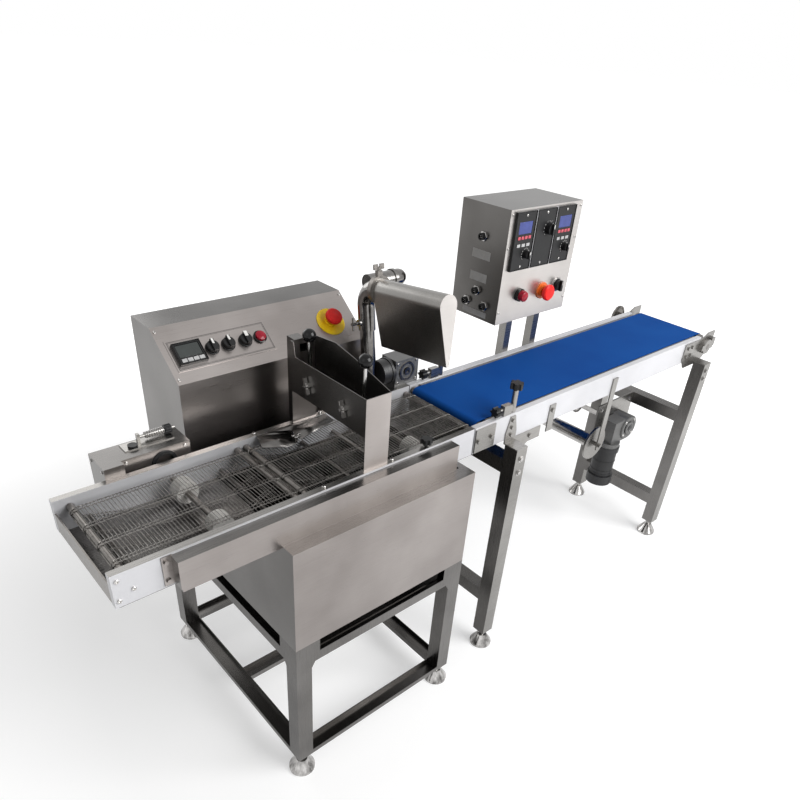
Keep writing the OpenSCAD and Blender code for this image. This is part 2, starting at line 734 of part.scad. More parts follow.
// Air pipe leaning to the back, fixed to the back rail by a bracket
nozzle_x = gear_x - can_l - nozzle_gap;
pipe_y = rail_y1 + 24;
pipe_z0 = rail_top - 30;
pipe_l = 230;
sleeve_z = 182;
sleeve_r = pipe_r + 3;
elbow_r = 45;
arm_top = 284;
module on_pipe() translate([nozzle_x, pipe_y, pipe_z0]) rotate([-pipe_lean, 0, 0]) children();

module air_pipe() in_frame() color(chrome) {
    on_pipe() difference() {
        cylinder(r = pipe_r, h = pipe_l);
        translate([0, 0, 10]) cylinder(r = pipe_r - sheet, h = pipe_l);
    }
    on_pipe() difference() {
        cylinder(r = pipe_r + 4, h = 12);
        translate([0, 0, -1]) cylinder(r = pipe_r - 1, h = 14);
    }
    translate([nozzle_x - 20, rail_y1, pipe_z0 + 1]) cube([40, 12, 8]);
}

// Swivel arm: sleeve over the pipe with its T-screw, bend and ferrule
ferrule_r = sleeve_r + 5;
ferrule_t = 6;
module nozzle_arm() in_frame() color(chrome) on_pipe() {
    translate([0, 0, sleeve_z]) difference() {
        cylinder(r = sleeve_r, h = arm_top - elbow_r - sleeve_z);
        translate([0, 0, -1]) cylinder(r = pipe_r + run, h = pipe_l - sleeve_z + 5);
        translate([0, 0, pipe_l - sleeve_z]) cylinder(r = pipe_r - sheet, h = arm_top);
    }
    translate([0, -elbow_r, arm_top - elbow_r]) rotate([90, 0, 90]) rotate_extrude(angle = 90)
        translate([elbow_r, 0]) difference() {
            circle(r = sleeve_r);
            circle(r = pipe_r - sheet);
        }
    translate([0, -elbow_r, arm_top]) rotate([90, 0, 0]) difference() {
        cylinder(r = ferrule_r, h = ferrule_t);
        translate([0, 0, -1]) cylinder(r = pipe_r - sheet, h = ferrule_t + 2);
    }
    translate([1 - sleeve_r, 0, sleeve_z + 20]) rotate([0, -90, 0]) {
        cylinder(r = 8, h = 7);
        cylinder(r = 4, h = 26);
        translate([-16, 0, 22]) rotate([0, 90, 0]) cylinder(r = 2.5, h = 32);
    }
}

// Clamp ring round the two ferrules, with a hinge lug and a wing screw
clamp_y = -elbow_r - ferrule_t;
clamp_r = sleeve_r + 11;
module in_nozzle() on_pipe() translate([0, clamp_y, arm_top]) rotate([90, 0, 0]) children();

module nozzle_clamp() in_frame() color(chrome) in_nozzle() difference() {
    union() {
        translate([0, 0, -ferrule_t]) cylinder(r = clamp_r, h = 2 * ferrule_t);
        translate([-7, clamp_r - 3, -5]) cube([14, 14, 10]);
        translate([0, clamp_r + 8, 0]) rotate([-90, 0, 0]) {
            cylinder(r = 6, h = 11);
            for (a = [0, 180]) rotate([0, 0, a]) translate([3, -2, 5]) cube([12, 4, 12]);
        }
    }
    translate([0, 0, -ferrule_t - 1]) cylinder(r = ferrule_r + gap, h = 2 * ferrule_t + 2);
}

// Teardrop sheet nozzle: round back, flat sides, open slot at the tip
tip_half = 4;
tip_y = nozzle_r - nozzle_h;
tangent = acos((nozzle_r - tip_half) / (nozzle_h - nozzle_r));
module teardrop(in) {
    r = nozzle_r - in;
    circle(r = r);
    polygon([[r * sin(tangent), -r * cos(tangent)], [0, r / 2], [-r * sin(tangent), -r * cos(tangent)],
        [-tip_half + in / 2, tip_y - in], [tip_half - in / 2, tip_y - in]]);
}

module air_nozzle() in_frame() color(steel) in_nozzle() difference() {
    union() {
        cylinder(r = ferrule_r, h = ferrule_t);
        translate([0, 0, ferrule_t]) linear_extrude(nozzle_l - ferrule_t) teardrop(0);
    }
    translate([0, 0, ferrule_t + sheet]) linear_extrude(nozzle_l - ferrule_t - 2 * sheet) teardrop(sheet);
    translate([0, 0, -1]) cylinder(r = pipe_r - sheet, h = ferrule_t + 2 * sheet);
}

// Belt conveyor rails
belt_nose_z = belt_top - belt_t - gap - belt_nose_r;
drive_z = belt_top - belt_t - gap - drive_r;
module belt_front_rail() in_frame() color(white_alu) difference() {
    translate([belt_x0, rail_y0, tank_top]) cube([belt_x1 - belt_x0, rail_t, rail_h]);
    journal_hole(belt_nose_x, belt_nose_z, blind, rail_in0, -1);
}

module belt_back_rail() in_frame() color(white_alu) difference() {
    translate([belt_back_x0, rail_in1, tank_top]) cube([belt_x1 - belt_back_x0, rail_t, rail_h]);
    journal_hole(belt_nose_x, belt_nose_z, blind, rail_in1, 1);
}

// Slider bed between the rails under the belt's top run
bed_t = 4;
rib_h = 14;
module slider_bed() in_frame() color(steel) {
    translate([belt_nose_x + 20, rail_in0, belt_top - belt_t - bed_t])
        cube([drive_x - drive_r - belt_nose_x - 26, rail_gap, bed_t]);
    for (x = [belt_nose_x + 60, (belt_x0 + belt_x1) / 2, belt_x1 - 90])
        translate([x, rail_in0, belt_top - belt_t - bed_t - rib_h]) cube([20, rail_gap, rib_h]);
}

// Outline of the belt's loop round the nose and drive rollers, grown outwards by t
belt_p = [belt_nose_x, belt_nose_z];
belt_q = [drive_x, drive_z];
arc_steps = 24;
function on_arc(c, r, from, sweep) =
    [for (i = [0 : arc_steps]) c + r * [cos(from + sweep * i / arc_steps), sin(from + sweep * i / arc_steps)]];
module belt_outline(t) {
    rp = belt_nose_r + gap + t;
    rq = drive_r + gap + t;
    a = atan2(belt_q[1] - belt_p[1], belt_q[0] - belt_p[0]);
    b = acos((rp - rq) / norm(belt_q - belt_p));
    polygon(concat(on_arc(belt_p, rp, a + b, 360 - 2 * b), on_arc(belt_q, rq, a - b, 2 * b)));
}

module blue_belt() in_frame() color("#1b4f9c")
    translate([0, belt_mid + belt_w / 2, 0]) rotate([90, 0, 0]) linear_extrude(belt_w) difference() {
        belt_outline(belt_t);
        belt_outline(0);
    }

module belt_nose_roller() in_frame() color(dark_steel) mesh_roller(belt_nose_x, belt_nose_z, belt_nose_r);

// End plates that carry the drive roller, bolted outside the rails
plate_l = end_x - belt_x1 + 95;
axle_r = 10;
module end_plate_shape() polygon([[0, rail_h - 6], [0, 14], [22, -18], [plate_l - 60, -18], [plate_l, 22],
    [plate_l, rail_h + 8], [plate_l - 40, rail_h + 8], [plate_l - 70, rail_h - 6]]);

module end_plate() {
    difference() {
        rotate([90, 0, 0]) linear_extrude(end_plate_t) end_plate_shape();
        translate([drive_x - end_x + plate_l, 1, drive_z - tank_top]) rotate([90, 0, 0])
            cylinder(r = axle_r + run, h = end_plate_t + 2);
    }
    for (p = [[20, rail_h - 22], [16, 22], [44, rail_h - 22], [44, 22]])
        translate([p[0], -end_plate_t, p[1]]) rotate([90, 0, 0]) cylinder(r = 5.5, h = 4, $fn = 6);
}

// Adjusting plate beside the belt's nose, with clamp screws
nose_plate_l = 68;
back_plate_l = 40;
module nose_plate(l) {
    translate([0, -end_plate_t, 0]) cube([l, end_plate_t, rail_h - 8]);
    for (x = [10, l - 12])
        translate([x, -end_plate_t, 30]) rotate([90, 0, 0]) cylinder(r = 6, h = 5, $fn = 6);
}

module rail_plates() in_frame() color(steel) {
    end_bearings();
    translate([end_x - plate_l, rail_y0, tank_top]) end_plate();
    translate([end_x - plate_l, rail_y1, tank_top]) mirror([0, 1, 0]) end_plate();
    translate([belt_x0 + 2, rail_y0, tank_top + 3]) nose_plate(nose_plate_l);
    translate([gear_x + gear_w + 6, rail_y1, tank_top + 3]) mirror([0, 1, 0]) nose_plate(back_plate_l);
}

// Flanged bearing with a rounded housing and an adjusting ear
bearing_t = 12;
module bearing() difference() {
    rotate([90, 0, 0]) linear_extrude(bearing_t) {
        circle(r = 24);
        translate([-34, -9]) square([68, 18]);
        translate([18, -2]) square([22, 26]);
    }
    translate([0, 1, 0]) rotate([90, 0, 0]) cylinder(r = axle_r + run, h = bearing_t + 2);
}

module end_bearings() {
    translate([drive_x, rail_y0 - end_plate_t, drive_z]) bearing();
    translate([drive_x, rail_y1 + end_plate_t, drive_z]) mirror([0, 1, 0]) bearing();
}

sprocket_y = rail_y1 + leg_gap + tube + 4;
sprocket_w = 8;
sprocket_r = 26;
teeth = 16;
// Chain sprocket with round tooth gaps
module sprocket() difference() {
    cylinder(r = sprocket_r, h = sprocket_w);
    for (i = [0 : teeth - 1])
        rotate([0, 0, 360 / teeth * i]) translate([sprocket_r, 0, -1])
            cylinder(r = 3, h = sprocket_w + 2, $fn = 24);
}

module drive_roller() in_frame() color(dark_steel) {
    along_y(drive_x, rail_in0 + roller_side, drive_z) cylinder(r = drive_r, h = rail_gap - 2 * roller_side);
    along_y(drive_x, rail_y0 - end_plate_t - bearing_t, drive_z)
        cylinder(r = axle_r, h = sprocket_y + 2 - rail_y0 + end_plate_t + bearing_t);
    along_y(drive_x, sprocket_y, drive_z) sprocket();
}

// Leg frames with two cross bars each
leg1_x = belt_x0 + 115;
leg2_x = leg1_x + leg_pitch;
leg_y0 = rail_y0 - leg_gap - tube;
leg_y1 = rail_y1 + leg_gap;
module leg_frame(x, upper, lower) {
    for (y = [leg_y0, leg_y1]) translate([x, y, foot_h]) closed_tube(conv_leg_top - foot_h);
    for (z = [upper, lower]) translate([x, leg_y0 + tube, z]) rotate([-90, 0, 0]) translate([0, -tube, 0])
        closed_tube(leg_y1 - leg_y0 - tube);
}

upper1 = 610;
lower1 = 170;
upper2 = 472;
lower2 = 126;
module near_leg_frame() in_frame() color(steel) leg_frame(leg1_x, upper1, lower1);

module far_leg_frame() in_frame() color(steel) {
    leg_frame(leg2_x, upper2, lower2);
    gear_plate();
}

// Shield brackets from the leg tops to the rails
tongue_h = 74;
bracket_t = 3;
module leg_bracket() {
    cube([tube, tube + leg_gap, bracket_t]);
    translate([0, tube + leg_gap, 0]) rotate([90, 0, 0]) linear_extrude(bracket_t)
        polygon([[0, 0], [tube, 0], [tube, 30], [tube - 12, tongue_h], [12, tongue_h], [0, 30]]);
    for (z = [22, 42, 62]) translate([tube / 2, tube + leg_gap - bracket_t, z]) rotate([90, 0, 0])
        cylinder(r = 5, h = 4, $fn = 6);
}

// Stay plate beside the near leg and a hanger tab further along the front rail
stay_l = 104;
stay_h = 64;
stay_lap = 2;
tab_x = leg1_x + 170;
tab_w = 24;
tab_drop = 28;
tab_h = 77;
module rail_stays() {
    translate([leg1_x + tube - stay_lap, rail_y0, tank_top]) rotate([90, 0, 0]) {
        linear_extrude(bracket_t) polygon([[0, 0], [stay_l, 0], [stay_l, -stay_h / 2], [stay_l * 0.55, -stay_h / 2],
            [stay_lap, -stay_h], [stay_lap, -tube / 2], [0, -tube / 2 + stay_lap]]);
        translate([stay_l * 0.6, -stay_h / 4, bracket_t]) cylinder(r = 6, h = 4, $fn = 6);
    }
    translate([tab_x, rail_y0, tank_top - tab_drop]) rotate([90, 0, 0]) {
        linear_extrude(bracket_t) square([tab_w, tab_h]);
        translate([tab_w / 2, tab_h - 16, bracket_t]) cylinder(r = 6, h = 4, $fn = 6);
    }
}

module rail_brackets() in_frame() color(chrome) {
    rail_stays();
    for (y = guide_y) guide_post(y);
    spindle_arms();
    translate([leg1_x, leg_y0, conv_leg_top]) leg_bracket();
    translate([leg1_x, leg_y1 + tube, conv_leg_top]) mirror([0, 1, 0]) leg_bracket();
    for (my = [0, 1]) translate([leg2_x, my == 0 ? leg_y0 : leg_y1 + tube, conv_leg_top]) mirror([0, my, 0])
        cube([tube, tube + leg_gap - end_plate_t, bracket_t]);
}

// Post and clamp block on a rail, with star knobs
guide_x = belt_x0 + 140;
post_r = 7;
post_h = 62;
clamp_z = rail_top + 16;
module guide_post(y) {
    translate([guide_x, y, rail_top]) cylinder(r = post_r, h = post_h);
    translate([guide_x - 40, y - 7, rail_top]) cube([28, 14, 26]);
    translate([guide_x - 14, y - 5, rail_top + 6]) cube([14, 10, 14]);
    along_x(guide_x - 54, y, clamp_z) cylinder(r = 4, h = 20);
}

guide_y = [rail_y0 + rail_t / 2 + 1, rail_in1 + rail_t / 2 - 1];
// Plastic clamping knob with six scallops between its lobes
scallop_r = 5;
module star_knob(r, h) difference() {
    cylinder(r = r, h = h);
    for (a = [0 : 60 : 300])
        rotate([0, 0, a]) translate([r + 1, 0, -1]) cylinder(r = scallop_r, h = h + 2);
}

star_r = 16;
star_h = 16;
rail_knob_x = 400;
module clamp_knobs() in_frame() color(black) {
    for (y = guide_y) {
        translate([guide_x, y, rail_top + post_h]) star_knob(star_r, star_h);
        translate([guide_x - 54, y, clamp_z]) rotate([0, -90, 0]) star_knob(star_r - 3, star_h);
    }
    translate([rail_knob_x, rail_in0 - 6, rail_top]) {
        cylinder(r = 4, h = 8);
        translate([0, 0, 8]) star_knob(star_r - 2, star_h - 4);
    }
    tension_knob();
}

// Gear plate, worm gearbox and motor under the belt conveyor
gear_plate_y = belt_mid + 30;
plate_x0 = leg2_x - 210;
plate_z0 = upper2 - 180;
worm_x = leg2_x - 78;
worm_z = upper2 - 54;
worm_r = 9;
module gear_plate() difference() {
    translate([plate_x0, gear_plate_y, plate_z0]) cube([leg2_x - plate_x0, 6, upper2 + tube - plate_z0]);
    translate([plate_x0 - 1, gear_plate_y - 1, plate_z0 - 1]) cube([110, 8, 90]);
    along_y(worm_x, gear_plate_y - 1, worm_z) cylinder(r = worm_r + run, h = 8);
}

worm_d = 56;
worm_y = gear_plate_y - worm_d;
worm_motor_x = worm_x - 62;
module worm_gearbox() in_frame() color("#9a9b9d") difference() {
    union() {
        along_y(worm_x, worm_y, worm_z) cylinder(r = 44, h = worm_d);
        translate([worm_motor_x - 26, worm_y + 2, worm_z - 46])
            cube([worm_x - worm_motor_x + 26, worm_d - 4, 84]);
        translate([worm_motor_x, worm_y + worm_d / 2, worm_z - 60]) cylinder(r = 40, h = 16);
        along_y(worm_x, worm_y - 4, worm_z) cylinder(r = 24, h = 6);
    }
    along_y(worm_x, worm_y - 5, worm_z) cylinder(r = worm_r + run, h = worm_d + 10);
}

motor_l = 150;
module belt_motor() in_frame() color(black)
    translate([worm_motor_x, worm_y + worm_d / 2, worm_z - 60 - motor_l]) {
        cylinder(r = 39, h = motor_l);
        cylinder(r = 45, h = 34);
        translate([0, 0, motor_l - 20]) cylinder(r = 43, h = 20);
    }

// Gearbox output shaft with its sprocket on the far side
module output_shaft() in_frame() color(chrome) {
    along_y(worm_x, worm_y + 10, worm_z) cylinder(r = worm_r, h = sprocket_y + 2 - worm_y - 10);
    along_y(worm_x, sprocket_y, worm_z) sprocket();
}

// Roller chain as a band round both sprockets
chain_t = 6;
chain_p = [worm_x, worm_z];
chain_r = sprocket_r + gap;
module chain_core(r, y0, w) {
    d = (belt_q - chain_p) / norm(belt_q - chain_p);
    n = [-d[1], d[0]];
    for (c = [chain_p, belt_q]) along_y(c[0], y0, c[1]) cylinder(r = r, h = w);
    translate([0, y0 + w, 0]) rotate([90, 0, 0]) linear_extrude(w)
        polygon([chain_p + r * n, belt_q + r * n, belt_q - r * n, chain_p - r * n]);
}

module drive_chain() in_frame() color(dark_steel) difference() {
    chain_core(chain_r + chain_t, sprocket_y + 1, sprocket_w - 2);
    chain_core(chain_r, sprocket_y, sprocket_w);
}

// Paper roll spindle hung under the belt conveyor on two arms
spindle_x = belt_x0 + 582;
spindle_z = tank_top - 170;
arm_w = 22;
arm_t = 4;
spindle_r = 20;
flange_r = 52;
pivot_r = 6;
module spindle_arms()
    for (my = [0, 1]) translate([spindle_x - arm_w / 2, my == 0 ? rail_y0 : rail_y1, 0]) mirror([0, my, 0])
        difference() {
            translate([0, -arm_t, spindle_z - 14]) cube([arm_w, arm_t, rail_top - spindle_z - 6]);
            translate([arm_w / 2, 1, spindle_z]) rotate([90, 0, 0])
                cylinder(r = pivot_r + run, h = arm_t + 2);
        }

module paper_spindle() in_frame() color(chrome) {
    along_y(spindle_x, rail_y0 - arm_t - 6, spindle_z)
        cylinder(r = pivot_r, h = rail_y1 - rail_y0 + 2 * arm_t + 12);
    along_y(spindle_x, rail_y0 + 16, spindle_z) cylinder(r = spindle_r, h = rail_y1 - rail_y0 - 32);
    for (y = [rail_y0 + 12, rail_y1 - 18]) along_y(spindle_x, y, spindle_z) cylinder(r = flange_r, h = 6);
}

// Control box on two posts behind the belt conveyor
ctl_x = belt_x0 + ctl_out;
ctl_y = rail_y1 + 15 - ctl_d / 2;
post_w = 25;
post_x = [ctl_x + 131, ctl_x + ctl_w - 34];
stop_u = 174;
lamp_v = 78;
stop_z = ctl_z + 66;
module on_front(u, z) translate([ctl_x + u, ctl_y, z]) rotate([90, 0, 0]) children();

module control_box() in_frame() color(steel) {
    difference() {
        translate([ctl_x, ctl_y, ctl_z]) cube([ctl_w, ctl_d, ctl_h]);
        translate([ctl_x + sheet, ctl_y + sheet, ctl_z + sheet])
            cube([ctl_w - 2 * sheet, ctl_d - 2 * sheet, ctl_h - 2 * sheet]);
        on_front(stop_u, stop_z) translate([0, 0, -10]) cylinder(r = barrel_r + gap, h = 20);
    }
    for (x = post_x) translate([x, rail_y1, tank_top + 6]) difference() {
        cube([post_w, post_w, ctl_z - tank_top - 6]);
        translate([sheet, sheet, -1])
            cube([post_w - 2 * sheet, post_w - 2 * sheet, ctl_z - tank_top - 5]);
    }
}

// Three speed controllers side by side
unit_w = 76;
unit_h = 142;
unit_t = 6;
unit_z = ctl_z + 138;
unit_u = [18, 98, 178];
module speed_controllers() in_frame() color(black) {
    for (i = [0 : 2]) on_front(unit_u[i], unit_z) difference() {
        cube([unit_w, unit_h, unit_t]);
        if (i != 1) translate([14, unit_h - 54, unit_t - 1]) cube([unit_w - 26, 30, 2]);
    }
    control_sockets();
}

module controller_knob(i, z, r) in_frame() color(black)
    on_front(unit_u[i] + unit_w - 24, unit_z + z) translate([0, 0, unit_t]) selector(r, knob_h);

module left_speed_knob() controller_knob(0, 38, 9);

module middle_speed_knob() controller_knob(1, 92, 13);

module right_speed_knob() controller_knob(2, 38, 9);

module control_stop_button() in_frame() color("red") on_front(stop_u, stop_z) stop_button(10);

module control_selector() in_frame() color(black) on_front(238, stop_z + 6) selector(14, 14);

// Round cable sockets on the left side of the control box
module control_sockets()
    for (p = [[84, 209], [83, 72], [52, 38], [115, 38]])
        translate([ctl_x, ctl_y + ctl_d - p[0], ctl_z + p[1]]) rotate([0, -90, 0]) difference() {
            cylinder(r = 9, h = 12);
            translate([0, 0, 6]) cylinder(r = 6, h = 10);
        }

// Sub-part to draw

stand_frame();
levelling_feet();
tank();
chocolate_pan();
stirring_wheel();
wheel_gearmotor();
drip_trough();
mesh_front_rail();
mesh_back_rail();
mesh_cross_ties();
infeed_mesh();
coating_mesh();
infeed_nose_roller();
infeed_end_roller();
coating_nose_roller();
coating_drive_roller();
infeed_drums();
support_drums();
drive_box();
tension_adjuster();
mesh_gearmotor();
curtain_box();
front_gate();
rear_gate();
riser_pipe();
housing_shell();
temperature_controller();
heater_knob();
wheel_knob();
infeed_knob();
pilot_lamps();
stop_bases();
housing_stop_button();
air_pipe();
nozzle_arm();
nozzle_clamp();
air_nozzle();
belt_front_rail();
belt_back_rail();
slider_bed();
blue_belt();
belt_nose_roller();
rail_plates();
drive_roller();
near_leg_frame();
far_leg_frame();
rail_brackets();
clamp_knobs();
worm_gearbox();
belt_motor();
output_shaft();
drive_chain();
paper_spindle();
control_box();
speed_controllers();
left_speed_knob();
middle_speed_knob();
right_speed_knob();
control_stop_button();
control_selector();
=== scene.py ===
import math

import bmesh
import bpy
from mathutils import Matrix, Vector


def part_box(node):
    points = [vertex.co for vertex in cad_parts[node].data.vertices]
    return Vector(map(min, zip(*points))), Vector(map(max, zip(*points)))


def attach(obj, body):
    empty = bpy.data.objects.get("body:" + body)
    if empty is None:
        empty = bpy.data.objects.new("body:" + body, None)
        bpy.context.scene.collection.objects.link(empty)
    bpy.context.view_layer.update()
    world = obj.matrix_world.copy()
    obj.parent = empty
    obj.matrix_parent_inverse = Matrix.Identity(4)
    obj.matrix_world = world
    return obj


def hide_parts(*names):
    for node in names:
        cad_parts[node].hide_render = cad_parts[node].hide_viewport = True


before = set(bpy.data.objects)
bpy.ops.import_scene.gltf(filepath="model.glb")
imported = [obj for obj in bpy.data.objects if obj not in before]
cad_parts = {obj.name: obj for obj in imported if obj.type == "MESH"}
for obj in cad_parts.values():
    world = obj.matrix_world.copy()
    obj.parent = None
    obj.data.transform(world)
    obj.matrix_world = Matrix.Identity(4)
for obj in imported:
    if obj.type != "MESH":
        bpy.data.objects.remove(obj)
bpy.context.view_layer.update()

# Places are millimetres from the tank's front left corner on the floor, as in the part's source
MM = 0.001
tank_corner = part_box("tank")[0]
NEAR, FAR, TOP, LEFT, RIGHT = (0, -1, 0), (0, 1, 0), (0, 0, 1), (-1, 0, 0), (1, 0, 0)


def at(x, y, z):
    """A place in the row frame."""
    return Vector((tank_corner[0] + x * MM, tank_corner[1] + y * MM, z * MM))


def source(point):
    """A point of the row frame, back in millimetres."""
    return Vector(((point[0] - tank_corner[0]) / MM, (point[1] - tank_corner[1]) / MM, point[2] / MM))


def span(node):
    """A node's lowest and highest corner in millimetres."""
    low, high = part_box(node)
    return source(low), source(high)


def placed(origin, normal, along=RIGHT):
    """A local frame at origin: its z follows normal, and its x follows along as far as it can."""
    z = Vector(normal).normalized()
    x = Vector(along)
    x = (x - x.dot(z) * z).normalized()
    place = Matrix((x, z.cross(x), z)).transposed().to_4x4()
    place.translation = origin
    return place


def facing(x, y, z, normal):
    """A local frame on a face that looks along normal."""
    return placed(at(x, y, z), normal, RIGHT if normal[0] == 0 else FAR)


def shifted(place, x, y, z=0.0):
    """A local frame moved within itself."""
    return place @ Matrix.Translation(Vector((x, y, z)) * MM)


# Mesh building, in local millimetres
def turned(bm, place, profile, sides=32, closed=False):
    """A turned solid about the local z axis, from (height, radius) pairs. A closed profile makes a ring."""
    turns = [2 * math.pi * i / sides for i in range(sides)]
    rows = []
    for z, r in profile:
        row = [(r * math.cos(t), r * math.sin(t)) for t in turns] if r else [(0, 0)]
        rows.append([bm.verts.new(place @ (Vector((x, y, z)) * MM)) for x, y in row])
    pairs = list(zip(rows, rows[1:]))
    if closed:
        pairs.append((rows[-1], rows[0]))
    for low, high in pairs:
        for i in range(sides):
            j = (i + 1) % sides
            corners = [low[i % len(low)], low[j % len(low)], high[j % len(high)], high[i % len(high)]]
            bm.faces.new(list(dict.fromkeys(corners)))


def block(bm, place, low, high):
    """A box between two local corners."""
    corners = [(x, y, z) for x in (low[0], high[0]) for y in (low[1], high[1]) for z in (low[2], high[2])]
    verts = [bm.verts.new(place @ (Vector(c) * MM)) for c in corners]
    for side in ((0, 1, 3, 2), (4, 6, 7, 5), (0, 4, 5, 1), (2, 3, 7, 6), (0, 2, 6, 4), (1, 5, 7, 3)):
        bm.faces.new([verts[i] for i in side])


def border(bm, place, low, high, width, z0, z1):
    """Four bars along the inside of a rectangle between two (x, y) corners."""
    (x0, y0), (x1, y1) = low, high
    for start, end in (((x0, y0), (x1, y0 + width)), ((x0, y1 - width), (x1, y1)),
                       ((x0, y0 + width), (x0 + width, y1 - width)),
                       ((x1 - width, y0 + width), (x1, y1 - width))):
        block(bm, place, (*start, z0), (*end, z1))


def prism(bm, place, outline, z0, z1):
    """A flat outline of (x, y) points raised from z0 to z1."""
    rows = [[bm.verts.new(place @ (Vector((x, y, z)) * MM)) for x, y in outline] for z in (z0, z1)]
    bm.faces.new(rows[0])
    bm.faces.new(rows[1])
    for i in range(len(outline)):
        j = (i + 1) % len(outline)
        bm.faces.new([rows[0][i], rows[0][j], rows[1][j], rows[1][i]])


def fluted(low_r, high_r, flutes):
    """A round outline of alternating radii."""
    turns = [math.pi * i / flutes for i in range(2 * flutes)]
    radii = [high_r if i % 2 else low_r for i in range(2 * flutes)]
    return [(r * math.cos(t), r * math.sin(t)) for r, t in zip(radii, turns)]


def cap_screw(bm, place, r, h):
    """Round screw head with a socket."""
    turned(bm, place, [(0, 0), (0, r), (0.8 * h, r), (h, 0.82 * r), (h, 0.5 * r),
                       (0.4 * h, 0.45 * r), (0.4 * h, 0)], 20)


def hex_bolt(bm, place, r, h):
    """Washer and hexagon head."""
    washer = 0.22 * h
    turned(bm, place, [(0, 0), (0, 1.5 * r), (washer, 1.5 * r), (washer, 0)], 24)
    turned(bm, place, [(washer, 0), (washer, r), (0.92 * h, r), (h, 0.86 * r), (h, 0)], 6)


SHARP = math.radians(35)


def rounded(obj, width):
    """Rounds the edges of a piece by width millimetres."""
    bevel = obj.modifiers.new("edges", "BEVEL")
    bevel.width = width * MM
    bevel.segments = 2
    bevel.limit_method = "ANGLE"
    bevel.angle_limit = SHARP


def piece(name, bm, material, body="machine", round_by=0.0):
    """Turns a bmesh into a piece that rides on a body."""
    bmesh.ops.recalc_face_normals(bm, faces=bm.faces)
    mesh = bpy.data.meshes.new(name)
    bm.to_mesh(mesh)
    bm.free()
    mesh.shade_smooth()
    mesh.set_sharp_from_angle(angle=SHARP)
    mesh.materials.append(material)
    obj = bpy.data.objects.new(name, mesh)
    bpy.context.collection.objects.link(obj)
    if round_by:
        rounded(obj, round_by)
    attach(obj, body)
    return obj


def wires(name, paths, radius, material):
    """Round wires along lists of points, as one piece."""
    curve = bpy.data.curves.new(name, "CURVE")
    curve.dimensions = "3D"
    curve.bevel_depth = radius * MM
    curve.bevel_resolution = 1
    curve.use_fill_caps = True
    for path in paths:
        line = curve.splines.new("POLY")
        line.points.add(len(path) - 1)
        for point, place in zip(line.points, path):
            point.co = (*place, 1)
        line.use_smooth = True
    curve.materials.append(material)
    obj = bpy.data.objects.new(name, curve)
    bpy.context.collection.objects.link(obj)
    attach(obj, "machine")
    return obj


# Materials
def srgb(r, g, b):
    """A colour as a screen shows it, made linear."""
    def linear(v):
        v /= 255
        return v / 12.92 if v <= 0.04045 else ((v + 0.055) / 1.055) ** 2.4
    return (linear(r), linear(g), linear(b), 1)


CLOUD_SCALE = 4.5
RAMP_ENDS = (0.36, 0.64)
WEAR_ENDS = (0.3, 0.7)
BUMP_STRENGTH = 0.6


def surface(name, dark, light, rough, metal=0.0, grain=60, stretch=(1, 1, 1), relief=0.0, mottle=0.45,
            **sockets):
    """A Principled surface whose colour, roughness and relief follow two noises in the object's own space."""
    mat = bpy.data.materials.new(name)
    mat.use_nodes = True
    tree = mat.node_tree
    bsdf = tree.nodes["Principled BSDF"]
    bsdf.inputs["Metallic"].default_value = metal
    for socket, value in sockets.items():
        bsdf.inputs[socket.replace("_", " ")].default_value = value

    def node(kind, **values):
        new = tree.nodes.new("ShaderNode" + kind)
        for key, value in values.items():
            new.inputs[key.replace("_", " ")].default_value = value
        return new

    link = tree.links.new
    coords = node("TexCoord")
    cloud = node("TexNoise", Scale=CLOUD_SCALE, Detail=3.0, Roughness=0.5)
    link(coords.outputs["Object"], cloud.inputs["Vector"])
    mapping = node("Mapping", Scale=stretch)
    link(coords.outputs["Object"], mapping.inputs["Vector"])
    fine = node("TexNoise", Scale=grain, Detail=5.0, Roughness=0.6)
    link(mapping.outputs["Vector"], fine.inputs["Vector"])
    both = node("Mix", Factor=mottle)
    link(cloud.outputs["Fac"], both.inputs["A"])
    link(fine.outputs["Fac"], both.inputs["B"])
    ramp = node("ValToRGB")
    for element, position, colour in zip(ramp.color_ramp.elements, RAMP_ENDS, (dark, light)):
        element.position = position
        element.color = colour
    link(both.outputs["Result"], ramp.inputs["Fac"])
    link(ramp.outputs["Color"], bsdf.inputs["Base Color"])
    wear = node("MapRange", From_Min=WEAR_ENDS[0], From_Max=WEAR_ENDS[1], To_Min=rough[0], To_Max=rough[1])
    link(fine.outputs["Fac"], wear.inputs["Value"])
    link(wear.outputs["Result"], bsdf.inputs["Roughness"])
    if relief:
        bump = node("Bump", Strength=BUMP_STRENGTH, Distance=relief * MM)
        link(fine.outputs["Fac"], bump.inputs["Height"])
        link(bump.outputs["Normal"], bsdf.inputs["Normal"])
    return mat


BRUSH_X = (1.0, 80, 80)
BRUSH_Z = (80, 80, 1.0)
STREAK_Z = (1, 1, 0.2)
sheet_steel = surface("sheet_steel", srgb(94, 92, 90), srgb(114, 112, 110), (0.25, 0.33), 1.0,
                      grain=16, stretch=BRUSH_X, relief=0.008, mottle=0.2)
# A lighter copy of sheet_steel: painted light for steel faces that look to the front
lit_sheet_steel = surface("lit_sheet_steel", srgb(142, 136, 133), srgb(165, 159, 156), (0.27, 0.35), 1.0,
                      grain=16, stretch=BRUSH_X, relief=0.008, mottle=0.2)
# A still lighter copy of the steel: painted light for the control box front and the nozzle's near end
lit_front_steel = surface("lit_front_steel", srgb(186, 182, 179), srgb(204, 200, 197), (0.3, 0.38), 1.0,
                      grain=16, stretch=BRUSH_X, relief=0.008, mottle=0.2)
plate_steel = surface("plate_steel", srgb(128, 126, 123), srgb(154, 152, 149), (0.24, 0.34), 1.0,
                      grain=16, stretch=BRUSH_X, relief=0.008, mottle=0.25)
tube_steel = surface("tube_steel", srgb(74, 72, 70), srgb(102, 100, 98), (0.22, 0.34), 1.0,
                     grain=16, stretch=BRUSH_Z, relief=0.01, mottle=0.25)
